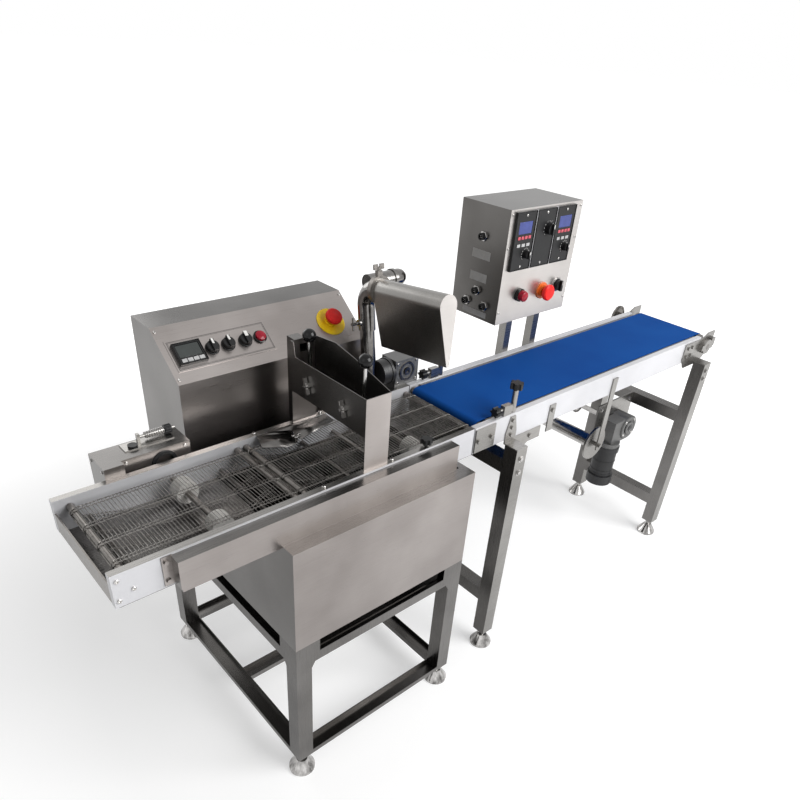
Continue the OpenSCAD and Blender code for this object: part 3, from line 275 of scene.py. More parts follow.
# A lighter copy of tube_steel: painted light for tube faces that look to the front or left
lit_tube_steel = surface("lit_tube_steel", srgb(102, 100, 98), srgb(130, 128, 126), (0.24, 0.36), 1.0,
                     grain=16, stretch=BRUSH_Z, relief=0.01, mottle=0.25)
# Dark steel for the pan and the tank's inside: painted shade together with chocolate residue
residue_and_shade_steel = surface("residue_and_shade_steel", srgb(30, 28, 26), srgb(52, 49, 46), (0.3, 0.42), 1.0,
                    grain=70, relief=0.03)
bright_steel = surface("bright_steel", srgb(160, 158, 156), srgb(198, 196, 194), (0.12, 0.24), 1.0,
                       grain=90, relief=0.02)
chrome_steel = surface("chrome_steel", srgb(84, 82, 80), srgb(214, 212, 210), (0.08, 0.16), 1.0,
                       grain=50, stretch=STREAK_Z, mottle=0.85)
pipe_steel = surface("pipe_steel", srgb(104, 102, 100), srgb(138, 136, 134), (0.1, 0.18), 1.0,
                     grain=90, relief=0.02)
roller_steel = surface("roller_steel", srgb(92, 89, 86), srgb(130, 126, 122), (0.24, 0.38), 1.0,
                       grain=70, relief=0.03)
wire_steel = surface("wire_steel", srgb(96, 93, 90), srgb(142, 139, 135), (0.24, 0.36), 1.0, grain=120)
rail_alu = surface("rail_alu", srgb(188, 188, 191), srgb(208, 208, 211), (0.4, 0.5), 0.35,
                   grain=16, stretch=BRUSH_X, relief=0.01, mottle=0.25)
white_plastic = surface("white_plastic", srgb(214, 212, 208), srgb(238, 237, 234), (0.34, 0.46), grain=80)
drum_plastic = surface("drum_plastic", srgb(182, 179, 175), srgb(208, 206, 202), (0.36, 0.48), grain=80)
black_plastic = surface("black_plastic", srgb(12, 12, 13), srgb(25, 25, 26), (0.34, 0.5), grain=220,
                        relief=0.06, Specular_IOR_Level=0.3)
gloss_black = surface("gloss_black", srgb(8, 8, 9), srgb(16, 16, 17), (0.1, 0.16), grain=60,
                      Specular_IOR_Level=0.25)
red_plastic = surface("red_plastic", srgb(220, 20, 16), srgb(240, 36, 28), (0.34, 0.44), grain=120,
                      Specular_IOR_Level=0.3)
lamp_red = surface("lamp_red", srgb(134, 8, 30), srgb(172, 18, 46), (0.16, 0.26), grain=120,
                   Specular_IOR_Level=0.3)
yellow_plastic = surface("yellow_plastic", srgb(242, 204, 18), srgb(252, 222, 40), (0.32, 0.42), grain=90)
orange_plastic = surface("orange_plastic", srgb(206, 92, 24), srgb(226, 118, 40), (0.3, 0.42), grain=90)
belt_blue = surface("belt_blue", srgb(10, 62, 132), srgb(18, 76, 148), (0.62, 0.76), grain=420,
                    relief=0.06, Specular_IOR_Level=0.06)
gear_grey = surface("gear_grey", srgb(88, 88, 88), srgb(116, 116, 115), (0.36, 0.5), 0.5, grain=160,
                    relief=0.12)
motor_black = surface("motor_black", srgb(20, 20, 21), srgb(40, 40, 42), (0.36, 0.52), grain=260,
                      relief=0.08)
screen_dark = surface("screen_dark", srgb(26, 32, 31), srgb(40, 47, 45), (0.1, 0.18), grain=60,
                      Coat_Weight=0.4)
screen_blue = surface("screen_blue", srgb(44, 54, 112), srgb(62, 74, 140), (0.14, 0.22), grain=60)
key_grey = surface("key_grey", srgb(150, 150, 150), srgb(186, 186, 186), (0.4, 0.5), grain=90)
key_pink = surface("key_pink", srgb(176, 62, 76), srgb(200, 88, 100), (0.36, 0.46), grain=90)
plate_grey = surface("plate_grey", srgb(158, 156, 153), srgb(184, 182, 179), (0.4, 0.5), grain=90)

FINISH = {
    sheet_steel: ["tank", "drip_trough", "drive_box", "curtain_box", "riser_pipe", "housing_shell",
                  "slider_bed", "control_box"],
    plate_steel: ["rail_plates", "rail_brackets", "air_nozzle", "tension_adjuster"],
    tube_steel: ["stand_frame", "near_leg_frame", "far_leg_frame"],
    residue_and_shade_steel: ["chocolate_pan"],
    bright_steel: ["front_gate", "rear_gate", "output_shaft", "paper_spindle"],
    chrome_steel: ["levelling_feet"],
    pipe_steel: ["air_pipe", "nozzle_arm"],
    roller_steel: ["stirring_wheel", "wheel_gearmotor", "mesh_cross_ties", "infeed_nose_roller",
                   "infeed_end_roller", "coating_nose_roller", "coating_drive_roller", "nozzle_clamp",
                   "belt_nose_roller", "drive_roller", "drive_chain"],
    wire_steel: ["infeed_mesh", "coating_mesh"],
    rail_alu: ["mesh_front_rail", "mesh_back_rail", "belt_front_rail", "belt_back_rail"],
    drum_plastic: ["infeed_drums", "support_drums"],
    black_plastic: ["temperature_controller", "heater_knob", "wheel_knob", "infeed_knob", "clamp_knobs",
                    "speed_controllers", "left_speed_knob", "middle_speed_knob", "right_speed_knob",
                    "control_selector"],
    gloss_black: ["pilot_lamps"],
    red_plastic: ["housing_stop_button", "control_stop_button"],
    yellow_plastic: ["stop_bases"],
    belt_blue: ["blue_belt"],
    gear_grey: ["worm_gearbox", "mesh_gearmotor"],
    motor_black: ["belt_motor"],
}
for material, nodes in FINISH.items():
    for name in nodes:
        node_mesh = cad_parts[name].data
        node_mesh.materials.clear()
        node_mesh.materials.append(material)


def paint(name, material, where):
    """Gives the faces of a node whose middle p (millimetres) and normal n pass a test another material."""
    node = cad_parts[name]
    node.data.materials.append(material)
    index = len(node.data.materials) - 1
    turn = node.matrix_world.to_3x3()
    for face in node.data.polygons:
        if where(source(node.matrix_world @ face.center), turn @ face.normal):
            face.material_index = index


def looking(way, least):
    """A test for faces whose normal follows a direction by at least this much."""
    return lambda p, n: n.dot(Vector(way)) > least


# Painted light and shade: steel that looks to the front gets lighter copies of its steel, and level tops get
# darker steel
SLANTED, UPRIGHT, LEVEL = 0.3, 0.5, 0.9
for name in ("tank", "drip_trough", "housing_shell", "curtain_box", "drive_box"):
    paint(name, lit_sheet_steel, looking(NEAR, SLANTED))
# Painted shade: the level tops of the mesh rails get darker steel
for name in ("mesh_front_rail", "mesh_back_rail"):
    paint(name, plate_steel, looking(TOP, LEVEL))
# Painted shade: the level tops of the housing and the control box get darker tube steel
for name in ("housing_shell", "control_box"):
    paint(name, tube_steel, looking(TOP, LEVEL))
# Painted light: the stand's front faces and the far leg frame's left faces get lighter tube steel
paint("stand_frame", lit_tube_steel, looking(NEAR, UPRIGHT))
paint("far_leg_frame", lit_tube_steel, looking(LEFT, UPRIGHT))
# Painted light: the leg frames' faces that look to the front get lighter plate steel
for name in ("near_leg_frame", "far_leg_frame"):
    paint(name, plate_steel, looking(NEAR, UPRIGHT))

# The tank's inside is dark, painted shade together with chocolate residue: a face is inside when a step along
# its normal stays in the tank's box
TANK_LOW, TANK_HIGH = span("tank")
INWARD = 20.0


def in_tank(p, n):
    step = p + n * INWARD
    return all(low < v < high for low, v, high in zip(TANK_LOW, step, TANK_HIGH))


paint("tank", residue_and_shade_steel, in_tank)

# Nodes of two colours: drum shafts, ball levers, motor can, nozzle end, spindle flange, posts, stop base,
# nut. The lighter steel on the control box front, the nozzle end and the posts is painted light
DRUM_YS, DRUM_HALF = (126.0, 268.0), 15.1
BALL_D = 30.0
MOTOR_CAN_END = 539.9
CURTAIN_LEFT = 220.9
NOZZLE_END, FLANGE_END, FRONT_SKIN = 30.0, 40.0, 0.1
BOX_UNDER = 897.0
CONTROL_FROM_X = 900.0
NUT_RIGHT, NUT_UNDER = -114.9, 794.1
BOX_LOW, BOX_HIGH = span("control_box")
NOZZLE_NEAR = span("air_nozzle")[0].y
SPINDLE_NEAR = span("paper_spindle")[0].y
for name in ("infeed_drums", "support_drums"):
    paint(name, roller_steel, lambda p, n: all(abs(p.y - y) > DRUM_HALF for y in DRUM_YS))
for gate in ("front_gate", "rear_gate"):
    ball_under = span(gate)[1].z - BALL_D
    paint(gate, gloss_black, lambda p, n: p.z > ball_under)
paint("mesh_gearmotor", motor_black, lambda p, n: p.x < MOTOR_CAN_END)
# Painted light: the control box front and the nozzle's near end get lighter steel
paint("control_box", lit_front_steel, lambda p, n: p.y < BOX_LOW.y + FRONT_SKIN)
paint("air_nozzle", lit_front_steel, lambda p, n: p.y < NOZZLE_NEAR + NOZZLE_END)
paint("paper_spindle", plate_steel, lambda p, n: p.y < SPINDLE_NEAR + FLANGE_END)
paint("curtain_box", bright_steel, lambda p, n: p.x < CURTAIN_LEFT)
# Painted light: the posts below the control box get lighter plate steel, standing in for reflected light
paint("control_box", plate_steel, lambda p, n: p.z < BOX_UNDER)
paint("stop_bases", orange_plastic, lambda p, n: p.x > CONTROL_FROM_X)
paint("tension_adjuster", black_plastic, lambda p, n: p.x < NUT_RIGHT and p.z > NUT_UNDER)

# Wire mesh: strands across the belt, each hooked over the one before it at the link columns
NOSE_R, NOSE_GAP, ROD_R = 8.0, 0.3, 0.8
LOOP_R = NOSE_R + NOSE_GAP + ROD_R
ARC_STEPS = 12
ROLLER_Z, RETURN_Z = 750.1, 705.8
MESH_NEAR, MESH_FAR = 97.0, 297.0
WIRE_R, PITCH = 0.85, 7.2
COLUMNS, HOOK = 4, 3.6
HOOK_BACK, HOOK_RISE = 1.9 * WIRE_R, 1.3 * WIRE_R
HOOK_BEND, HOOK_START = 1.2 * HOOK, 1.8 * HOOK
# Middles of both nose rollers, and the two ends of the return run, along x
INFEED_LOOP = (-282.0, 72.1, -148.0, -18.0)
COATING_LOOP = (93.9, 562.0, 203.9, 460.0)


def loop_path(left, right, low_left, low_right):
    """Centre line of a mesh loop over two nose rollers, as (x, z) points."""
    def arc(x, start):
        turns = [math.radians(start - 180 * i / ARC_STEPS) for i in range(ARC_STEPS + 1)]
        return [(x + LOOP_R * math.cos(t), ROLLER_Z + LOOP_R * math.sin(t)) for t in turns]
    return arc(right, 90) + [(low_right, RETURN_Z), (low_left, RETURN_Z)] + arc(left, 270)


def spaced(points, step):
    """Places at equal steps round a closed path, as (point, direction), and the step that fits."""
    legs = [(Vector(a), Vector(b)) for a, b in zip(points, points[1:] + points[:1])]
    total = sum((b - a).length for a, b in legs)
    count = round(total / step)
    places, done = [], 0.0
    for a, b in legs:
        length = (b - a).length
        while len(places) < count and len(places) * total / count <= done + length:
            way = (len(places) * total / count - done) / length
            places.append((a.lerp(b, way), (b - a).normalized()))
        done += length
    return places, total / count


def strands(loop):
    """One path per strand of a mesh loop."""
    places = spaced(loop_path(*loop), PITCH)[0]
    inset = 2 * HOOK
    column_gap = (MESH_FAR - MESH_NEAR - 2 * inset) / (COLUMNS - 1)
    paths = []
    for k, (point, way) in enumerate(places):
        back, back_way = places[k - 1]
        out = Vector((-way.y, way.x))
        back_out = Vector((-back_way.y, back_way.x))
        hook = back - back_way * HOOK_BACK
        over = (point + back) / 2 + (out + back_out) / 2 * HOOK_RISE
        path = [(point, MESH_NEAR)]
        for column in range(COLUMNS):
            y = MESH_NEAR + inset + column * column_gap
            path += [(point, y - HOOK_START), (over, y - HOOK_BEND), (hook, y - HOOK),
                     (hook, y + HOOK), (over, y + HOOK_BEND), (point, y + HOOK_START)]
        path.append((point, MESH_FAR))
        paths.append([at(p.x, y, p.y) for p, y in path])
    return paths


for name, loop in (("infeed_mesh", INFEED_LOOP), ("coating_mesh", COATING_LOOP)):
    strand_piece = wires(name + "_strands", strands(loop), WIRE_R, wire_steel)
    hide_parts(name)

# Flats that carry small pieces: slanted panel, control box front and control box left side
PANEL_TOP_Y, PANEL_TOP_Z, PANEL_TURN = 525.0, 972.0, math.radians(37.35)


def on_panel(u, s):
    """u along the slanted panel, s down from its top edge."""
    y = PANEL_TOP_Y - s * math.cos(PANEL_TURN)
    z = PANEL_TOP_Z - s * math.sin(PANEL_TURN)
    return placed(at(u, y, z), (0, -math.sin(PANEL_TURN), math.cos(PANEL_TURN)))


def on_front(u, z):
    """u along the control box's front from its left edge."""
    return placed(at(BOX_LOW.x + u, BOX_LOW.y, z), NEAR)


def on_left(y, z):
    """A place on the control box's left side, with its local x toward the front."""
    return placed(at(BOX_LOW.x, y, z), LEFT, NEAR)


# Screws and bolts
def fasteners(name, head, places, r, h):
    """Screws or bolts of one size as one piece."""
    bm = bmesh.new()
    for place in places:
        head(bm, place, r, h)
    return piece(name, bm, bright_steel)


RAIL_NEAR, RAIL_FAR, RAIL_TOP = 60.0, 334.0, 770.0
RAIL_ENDS, TIE_END = ((-301, 756), (-276, 728), (-303, 714)), (520, 730)
fasteners("rail_end_screws", cap_screw,
          [facing(x, RAIL_NEAR, z, NEAR) for x, z in RAIL_ENDS]
          + [facing(x, RAIL_FAR, z, FAR) for x, z in (*RAIL_ENDS, TIE_END)], r=4.2, h=3)
LIP_XS, LIP_YS = (121, 298), (67.5, 326.5)
fasteners("rail_top_screws", cap_screw,
          [facing(x, y, RAIL_TOP, TOP) for x in LIP_XS for y in LIP_YS], r=4.5, h=5)
LEG_NEAR, LEG_FAR = 14.0, 380.0
LEG_BOLTS = ((686, 662), (686, 622), (1618, 668), (1618, 640))
fasteners("leg_bolts", hex_bolt,
          [facing(x, LEG_NEAR, z, NEAR) for x, z in LEG_BOLTS]
          + [facing(x, LEG_FAR, z, FAR) for x, z in LEG_BOLTS], r=6, h=5)
GEAR_PLATE_Y, GEAR_PLATE_BOLTS = 227.0, ((1580, 492), (1410, 492), (1580, 330))
fasteners("gear_plate_bolts", hex_bolt,
          [facing(x, GEAR_PLATE_Y, z, NEAR) for x, z in GEAR_PLATE_BOLTS], r=6, h=5)
DRIVE_BOX_NEAR, DRIVE_BOX_LEFT = 349.0, -205.0
fasteners("drive_box_screws", cap_screw,
          [facing(x, DRIVE_BOX_NEAR, z, NEAR) for x in (-30, -155) for z in (784, 724)]
          + [facing(DRIVE_BOX_LEFT, y, z, LEFT) for y in (345, 400) for z in (724, 782)], r=3.2, h=2.4)
fasteners("control_box_screws", cap_screw,
          [on_front(u, z) for u in (7, 280) for z in (930, 1092, 1172)], r=3, h=2)
fasteners("housing_screws", cap_screw,
          [on_panel(u, s) for u in (7, 493) for s in (12, 131)], r=3.2, h=2.2)
GEARBOX_X, GEARBOX_Z, GEARBOX_FACE, GEARBOX_CIRCLE = 1520.0, 418.0, 171.0, 35.0
gearbox_turns = [math.pi / 4 + i * math.pi / 2 for i in range(4)]
fasteners("gearbox_screws", cap_screw,
          [facing(GEARBOX_X + GEARBOX_CIRCLE * math.cos(t), GEARBOX_FACE,
                  GEARBOX_Z + GEARBOX_CIRCLE * math.sin(t), NEAR) for t in gearbox_turns], r=5, h=4)
MESH_MOTOR_NEAR = 334.0
fasteners("mesh_motor_screws", cap_screw,
          [facing(x, MESH_MOTOR_NEAR, z, NEAR) for x in (545, 607) for z in (779, 830)], r=3.5, h=3)

# Slanted panel: border lines and the temperature controller's face
PLATE_U, PLATE_S, PLATE_TOP = (14.0, 256.0), (38.0, 115.4), 1.0
LINE_H = 0.15
bm = bmesh.new()
for inset, width in ((4.0, 0.9), (6.5, 0.5)):
    border(bm, on_panel(0, 0), (PLATE_U[0] + inset, -PLATE_S[1] + inset),
           (PLATE_U[1] - inset, -PLATE_S[0] - inset), width, PLATE_TOP, PLATE_TOP + LINE_H)
piece("panel_border", bm, black_plastic)

CONTROLLER = on_panel(23, 104)
CONTROLLER_W, CONTROLLER_H, CONTROLLER_TOP = 64.0, 52.0, 9.0
SCREEN_LOW, SCREEN_HIGH = (6.0, 17.0, 7.0), (58.0, 46.0, 7.6)
KEY_LOW, KEY_HIGH, KEY_STEP = (6.0, 4.0, CONTROLLER_TOP), (17.6, 12.5, 10.2), 13.4
bm = bmesh.new()
block(bm, CONTROLLER, SCREEN_LOW, SCREEN_HIGH)
piece("controller_screen", bm, screen_dark, round_by=0.4)
bm = bmesh.new()
for i in range(4):
    block(bm, shifted(CONTROLLER, KEY_STEP * i, 0), KEY_LOW, KEY_HIGH)
piece("controller_keys", bm, key_grey, round_by=0.8)
bm = bmesh.new()
border(bm, CONTROLLER, (0, 0), (CONTROLLER_W, CONTROLLER_H), 2.0, CONTROLLER_TOP, CONTROLLER_TOP + 1.5)
piece("controller_bezel", bm, gloss_black, round_by=0.5)

# Housing knobs and pilot lamps
KNOB_S, KNOB_R, KNOB_H = 78.0, 14.0, 12.0
SKIRT_OUT, SKIRT_H, CROWN_H, BAR_RISE = 2.0, 3.2, 0.9, 6.4
LINE_T, LINE_DROP = 0.4, 4.5


def bar_knob(label, place, r, line_half):
    """Selector knob in place of its plain solid: skirt, fluted body, grip bar and painted line."""
    foot, skirt_top, body_top = PLATE_TOP, PLATE_TOP + SKIRT_H, PLATE_TOP + KNOB_H
    crown, bar_top = body_top + CROWN_H, body_top + BAR_RISE
    bm = bmesh.new()
    turned(bm, place, [(foot, 0), (foot, r + SKIRT_OUT), (skirt_top - 0.8, r + SKIRT_OUT),
                       (skirt_top, r + 0.9), (skirt_top, 0)], 48)
    prism(bm, place, fluted(r - 0.5, r + 0.3, 30), skirt_top, body_top)
    turned(bm, place, [(body_top, 0), (body_top, r - 0.6), (crown, r - 1.8), (crown, 0)], 48)
    bar = 0.3 * r
    prism(bm, place, [(-bar, -r), (bar, -r), (bar, r), (-bar, r)], crown, bar_top)
    knob = piece(label + "_selector", bm, black_plastic, "knob_" + label, 0.5)
    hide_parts(label + "_knob")
    bm = bmesh.new()
    block(bm, place, (-line_half, 0.1 * r, bar_top), (line_half, 0.97 * r, bar_top + LINE_T))
    block(bm, place, (-line_half, r, bar_top - LINE_DROP), (line_half, r + LINE_T, bar_top + LINE_T))
    piece(label + "_pointer", bm, white_plastic, "knob_" + label)


for label, u, line_share in (("heater", 109, 0.16), ("wheel", 148, 0.16), ("infeed", 191, 0.28)):
    bar_knob(label, on_panel(u, KNOB_S), KNOB_R, line_share * KNOB_R)


def lens(name, place, r, z, depth):
    """Faceted lens over the end of a lamp, with a dark ring round its foot."""
    foot = z - depth
    bm = bmesh.new()
    turned(bm, place, [(foot, 0), (foot, r), (z, r), (z + 0.22 * r, 0.92 * r),
                       (z + 0.4 * r, 0.5 * r), (z + 0.42 * r, 0)], 10)
    piece(name, bm, lamp_red)
    bm = bmesh.new()
    turned(bm, place, [(foot - 3, r - 1), (foot - 3, r + 2.6), (foot + 1, r + 2.6),
                       (foot + 2, r + 0.3), (foot + 2, r - 1)], 32, True)
    piece(name + "_ring", bm, gloss_black)


lens("housing_lens", on_panel(229, KNOB_S), r=13, z=8, depth=4)
lens("control_lens", on_front(78, 968), r=14, z=20, depth=12)

# Control box: faces of the three speed controllers
UNIT_Z, UNIT_W, UNIT_H, UNIT_T = 1036.0, 76.0, 142.0, 6.0
UNIT_BEZEL, UNIT_SCREW_IN = 2.5, 9.0
SPEED_KNOB_IN, SPEED_KNOB_H, SPEED_GRIP_Z = 24.0, 12.0, 4.0
TICKS, TICK_SWEEP = 11, 270.0
UNIT_SCREEN_LOW, UNIT_SCREEN_HIGH = (14.5, 88.5, UNIT_T - 1), (63.5, 117.5, UNIT_T - 0.4)
UNIT_KEYS_X, UNIT_KEY_H, UNIT_KEY_T = 14.0, 7.5, 1.2
# Rows of keys: height, number of keys, step, width, how much each key is wider than the last, looks
UNIT_KEYS = ((76.0, 4, 13.2, 9.6, 0.0, key_pink, "lamp_red"),
             (58.0, 3, 17.7, 11.6, 0.5, key_grey, "white_plastic"))


def speed_knob(label, place, r):
    """Painted line, fluted grip and tick marks of a speed knob."""
    top = SPEED_KNOB_H + r / 2
    bm = bmesh.new()
    block(bm, place, (-1.2, 0.15 * r, top), (1.2, 0.96 * r, top + 0.5))
    piece(label + "_speed_pointer", bm, white_plastic, "speed_" + label, 0.2)
    bm = bmesh.new()
    prism(bm, place, fluted(r, r + 0.7, 24), SPEED_GRIP_Z, SPEED_GRIP_Z + 0.62 * r)
    piece(label + "_speed_grip", bm, black_plastic, "speed_" + label, 0.25)
    bm = bmesh.new()
    for i in range(TICKS):
        turn = math.radians(225 - TICK_SWEEP * i / (TICKS - 1))
        block(bm, place @ Matrix.Rotation(turn, 4, "Z"), (r + 4, -0.4, 0), (r + 7, 0.4, 0.2))
    piece(label + "_unit_ticks", bm, white_plastic)


def unit_face(label, place):
    """Screen and two rows of keys of a speed controller."""
    bm = bmesh.new()
    block(bm, place, UNIT_SCREEN_LOW, UNIT_SCREEN_HIGH)
    piece(label + "_unit_screen", bm, screen_blue, round_by=0.3)
    for row, (y, keys, step, width, widen, material, slot) in enumerate(UNIT_KEYS):
        bm = bmesh.new()
        for i in range(keys):
            key = shifted(place, UNIT_KEYS_X + step * i, y, UNIT_T)
            block(bm, key, (0, 0, 0), (width + widen * i, UNIT_KEY_H, UNIT_KEY_T))
        piece(f"{label}_unit_keys_{row}", bm, material, round_by=0.5)


for label, u, knob_y, knob_r in (("left", 18, 38, 9), ("middle", 98, 92, 13), ("right", 178, 38, 9)):
    unit = on_front(u, UNIT_Z)
    bm = bmesh.new()
    border(bm, unit, (0, 0), (UNIT_W, UNIT_H), UNIT_BEZEL, UNIT_T, UNIT_T + 1.4)
    piece(label + "_unit_bezel", bm, gloss_black, round_by=0.5)
    fasteners(label + "_unit_screws", cap_screw,
              [shifted(unit, UNIT_W / 2, y, UNIT_T) for y in (UNIT_SCREW_IN, UNIT_H - UNIT_SCREW_IN)],
              r=3, h=1.6)
    speed_knob(label, shifted(unit, UNIT_W - SPEED_KNOB_IN, knob_y, UNIT_T), knob_r)
    if label != "middle":
        unit_face(label, unit)

# Control box: trims between the units, selector, sockets and blank plates
TRIM_US, TRIM_W = (94.3, 174.3), 3.4
SELECTOR = on_front(238, 970)
SOCKETS, PINS, PIN_CIRCLE = ((346, 1107), (347, 970), (378, 936), (315, 936)), 4, 3.0
PLATES = ((346, 1062, 62, 22), (347, 1005, 58, 22), (346, 912, 84, 15))
bm = bmesh.new()
for u in TRIM_US:
    block(bm, on_front(u, UNIT_Z), (0, 0, 0), (TRIM_W, UNIT_H, UNIT_T - 0.4))
piece("unit_trims", bm, rail_alu, round_by=0.4)
bm = bmesh.new()
block(bm, SELECTOR, (-1.6, 2.0, 21.0), (1.6, 13.4, 21.7))
piece("selector_pointer", bm, bright_steel, "selector", 0.2)
bm = bmesh.new()
turned(bm, SELECTOR, [(0, 16.2), (0, 19), (2.4, 19), (3.2, 16.2)], 40, True)
piece("selector_ring", bm, bright_steel)
bm = bmesh.new()
for y, z in SOCKETS:
    turned(bm, on_left(y, z), [(0, 9.3), (0, 13), (3.4, 13), (4, 12.2), (4, 9.3)], 6, True)
piece("socket_nuts", bm, bright_steel)
bm = bmesh.new()
for y, z in SOCKETS:
    for i in range(PINS):
        turn = math.pi * (0.25 + 2 * i / PINS)
        pin = shifted(on_left(y, z), PIN_CIRCLE * math.cos(turn), PIN_CIRCLE * math.sin(turn), 5)
        turned(bm, pin, [(0, 0), (0, 0.8), (5, 0.8), (5.6, 0)], 10)
piece("socket_pins", bm, bright_steel)
bm = bmesh.new()
for y, z, w, h in PLATES:
    block(bm, on_left(y, z), (-w / 2, -h / 2, 0), (w / 2, h / 2, 0.5))
piece("blank_plates", bm, plate_grey, round_by=0.2)

# Back covers with pressed louvres
COVER_T, COVER_CORNER, CORNER_STEPS, COVER_SCREW_IN = 1.5, 8.0, 4, 9.0
HOOD_H, HOOD_RISE, HOOD_TIP, HOOD_GAP = 9.0, 4.5, 2.0, 20.0
ALONG_X = Matrix(((0, 0, 1, 0), (1, 0, 0, 0), (0, 1, 0, 0), (0, 0, 0, 1)))


def cover(name, place, w, h, hoods, hood_w):
    """A screwed cover centred on a face, with two columns of hoods that are open at the bottom."""
    bm = bmesh.new()
    outline = []
    for i, (sx, sy) in enumerate(((1, 1), (-1, 1), (-1, -1), (1, -1))):
        for k in range(CORNER_STEPS + 1):
            turn = math.radians(90 * (i + k / CORNER_STEPS))
            outline.append((sx * (w / 2 - COVER_CORNER) + COVER_CORNER * math.cos(turn),
                            sy * (h / 2 - COVER_CORNER) + COVER_CORNER * math.sin(turn)))
    prism(bm, place, outline, 0, COVER_T)
    crest = COVER_T + HOOD_RISE
    for k in range(hoods):
        y = HOOD_GAP * (k - (hoods - 1) / 2)
        top = y + HOOD_H
        hood = [(y, COVER_T), (top, COVER_T), (top, crest), (top - HOOD_TIP, crest)]
        for x in (-hood_w - HOOD_GAP / 2, HOOD_GAP / 2):
            prism(bm, place @ ALONG_X, hood, x, x + hood_w)
    piece(name, bm, sheet_steel, round_by=0.5)
    side, end = w / 2 - COVER_SCREW_IN, h / 2 - COVER_SCREW_IN
    fasteners(name + "_screws", cap_screw,
              [shifted(place, x, y, COVER_T) for x in (-side, 0, side) for y in (-end, end)], r=3.4, h=2.2)


HOUSING_BACK = span("housing_shell")[1].y
BOX_MIDDLE = (BOX_LOW.x + BOX_HIGH.x) / 2
cover("housing_back_cover", facing(250, HOUSING_BACK, 838, FAR), w=430, h=220, hoods=7, hood_w=130)
cover("box_back_cover", facing(BOX_MIDDLE, BOX_HIGH.y, 1060, FAR), w=236, h=220, hoods=5, hood_w=80)

# Drums: ribbed treads between the lips
DRUM_Z, DRUM_ENDS = 734.1, (111, 253)
TREAD_R, TREAD_FROM, TREAD_TO = 22.9, 4.0, 26.0
RIBS, RIB_H = 40, 0.9
RIB_SHAPE = ((0.0, 0), (0.18, 1), (0.5, 1), (0.68, 0))
for label, x, body in (("infeed", -78, "infeed_drive"), ("support", 410, "support")):
    bm = bmesh.new()
    steps = [(2 * math.pi * (i + part) / RIBS, TREAD_R + RIB_H * rise)
             for i in range(RIBS) for part, rise in RIB_SHAPE]
    outline = [(r * math.cos(t), r * math.sin(t)) for t, r in steps]
    for y in DRUM_ENDS:
        prism(bm, facing(x, y, DRUM_Z, FAR), outline, TREAD_FROM, TREAD_TO)
    piece(label + "_treads", bm, drum_plastic, body)

# Sills on the stand's upper ring, under the tank
FLOOR_FRAME = facing(0, 0, 0, TOP)
SILL_Z, SILL_T, SILL_W, SILL_IN, POST_CLEAR = 380.1, 2.0, 80.0, 30.0, 41.0
STAND_W, STAND_D = TANK_HIGH.x, HOUSING_BACK
SILL_TOP, SILL_NEAR, SILL_FAR = SILL_Z + SILL_T, SILL_IN + SILL_W, STAND_D - SILL_IN - SILL_W
bm = bmesh.new()
for y in (SILL_IN, SILL_FAR):
    block(bm, FLOOR_FRAME, (POST_CLEAR, y, SILL_Z), (STAND_W - POST_CLEAR, y + SILL_W, SILL_TOP))
for x in (SILL_IN, STAND_W - SILL_IN - SILL_W):
    block(bm, FLOOR_FRAME, (x, SILL_NEAR, SILL_Z), (x + SILL_W, SILL_FAR, SILL_TOP))
piece("ring_sills", bm, tube_steel)

# Drip sheets under both ends of the mesh, each with a turned-up end
DRIP_LOW, DRIP_HIGH, DRIP_NEAR, DRIP_FAR = 698.2, 699.8, 61.0, 333.0
LIP_T, LIP_NEAR, LIP_FAR = 1.2, 82.0, 312.0
bm = bmesh.new()
for left, right, lip_x, lip_top in ((-305.0, -204.2, -305.0, 702.6), (500.2, 574.0, 572.8, 738.0)):
    block(bm, FLOOR_FRAME, (left, DRIP_NEAR, DRIP_LOW), (right, DRIP_FAR, DRIP_HIGH))
    block(bm, FLOOR_FRAME, (lip_x, LIP_NEAR, DRIP_HIGH), (lip_x + LIP_T, LIP_FAR, lip_top))
piece("drip_sheets", bm, sheet_steel)

# Deflector at the back rail: two overlapping folded sheets over the mesh, and the bolt that holds them
LEFT_SHEET = ((122, 318.5, 769.4), (198, 289, 766.5), (181, 251, 762.2), (157, 250, 762.0), (111, 279, 762.5))
LEFT_WEDGE = ((122, 318.5, 769.4), (200, 318.5, 769.4), (198, 289, 766.5))
RIGHT_SHEET = ((194, 289, 775.0), (308, 318.5, 769.4), (308, 284, 767.0), (190, 250, 770.0))
RIGHT_WEDGE = ((194, 289, 775.0), (150, 318.5, 770.4), (308, 318.5, 769.4))
SHEET_T = 0.8
BOLT = facing(184, 256, 766, TOP)
BOLT_R, BOLT_FLANGE_R, BOLT_FOOT, BOLT_FLANGE, BOLT_TOP = 3.0, 5.5, -3.0, 9.0, 13.0
WING_HALF, WING_T, WING_H = 11.0, 2.2, 4.0
bm = bmesh.new()
for outline in (LEFT_SHEET, LEFT_WEDGE, RIGHT_SHEET, RIGHT_WEDGE):
    bm.faces.new([bm.verts.new(at(*corner)) for corner in outline])
deflector = piece("deflector", bm, sheet_steel)
folded = deflector.modifiers.new("sheet", "SOLIDIFY")
folded.thickness = SHEET_T * MM
folded.offset = 0
bm = bmesh.new()
turned(bm, BOLT, [(BOLT_FOOT, 0), (BOLT_FOOT, BOLT_R), (BOLT_FLANGE, BOLT_R), (BOLT_FLANGE, BOLT_FLANGE_R),
                  (BOLT_TOP - 1, BOLT_FLANGE_R), (BOLT_TOP, BOLT_FLANGE_R - 1), (BOLT_TOP, 0)], 20)
block(bm, BOLT, (-WING_HALF, -WING_T, BOLT_TOP), (WING_HALF, WING_T, BOLT_TOP + WING_H))
piece("deflector_bolt", bm, bright_steel, round_by=0.6)

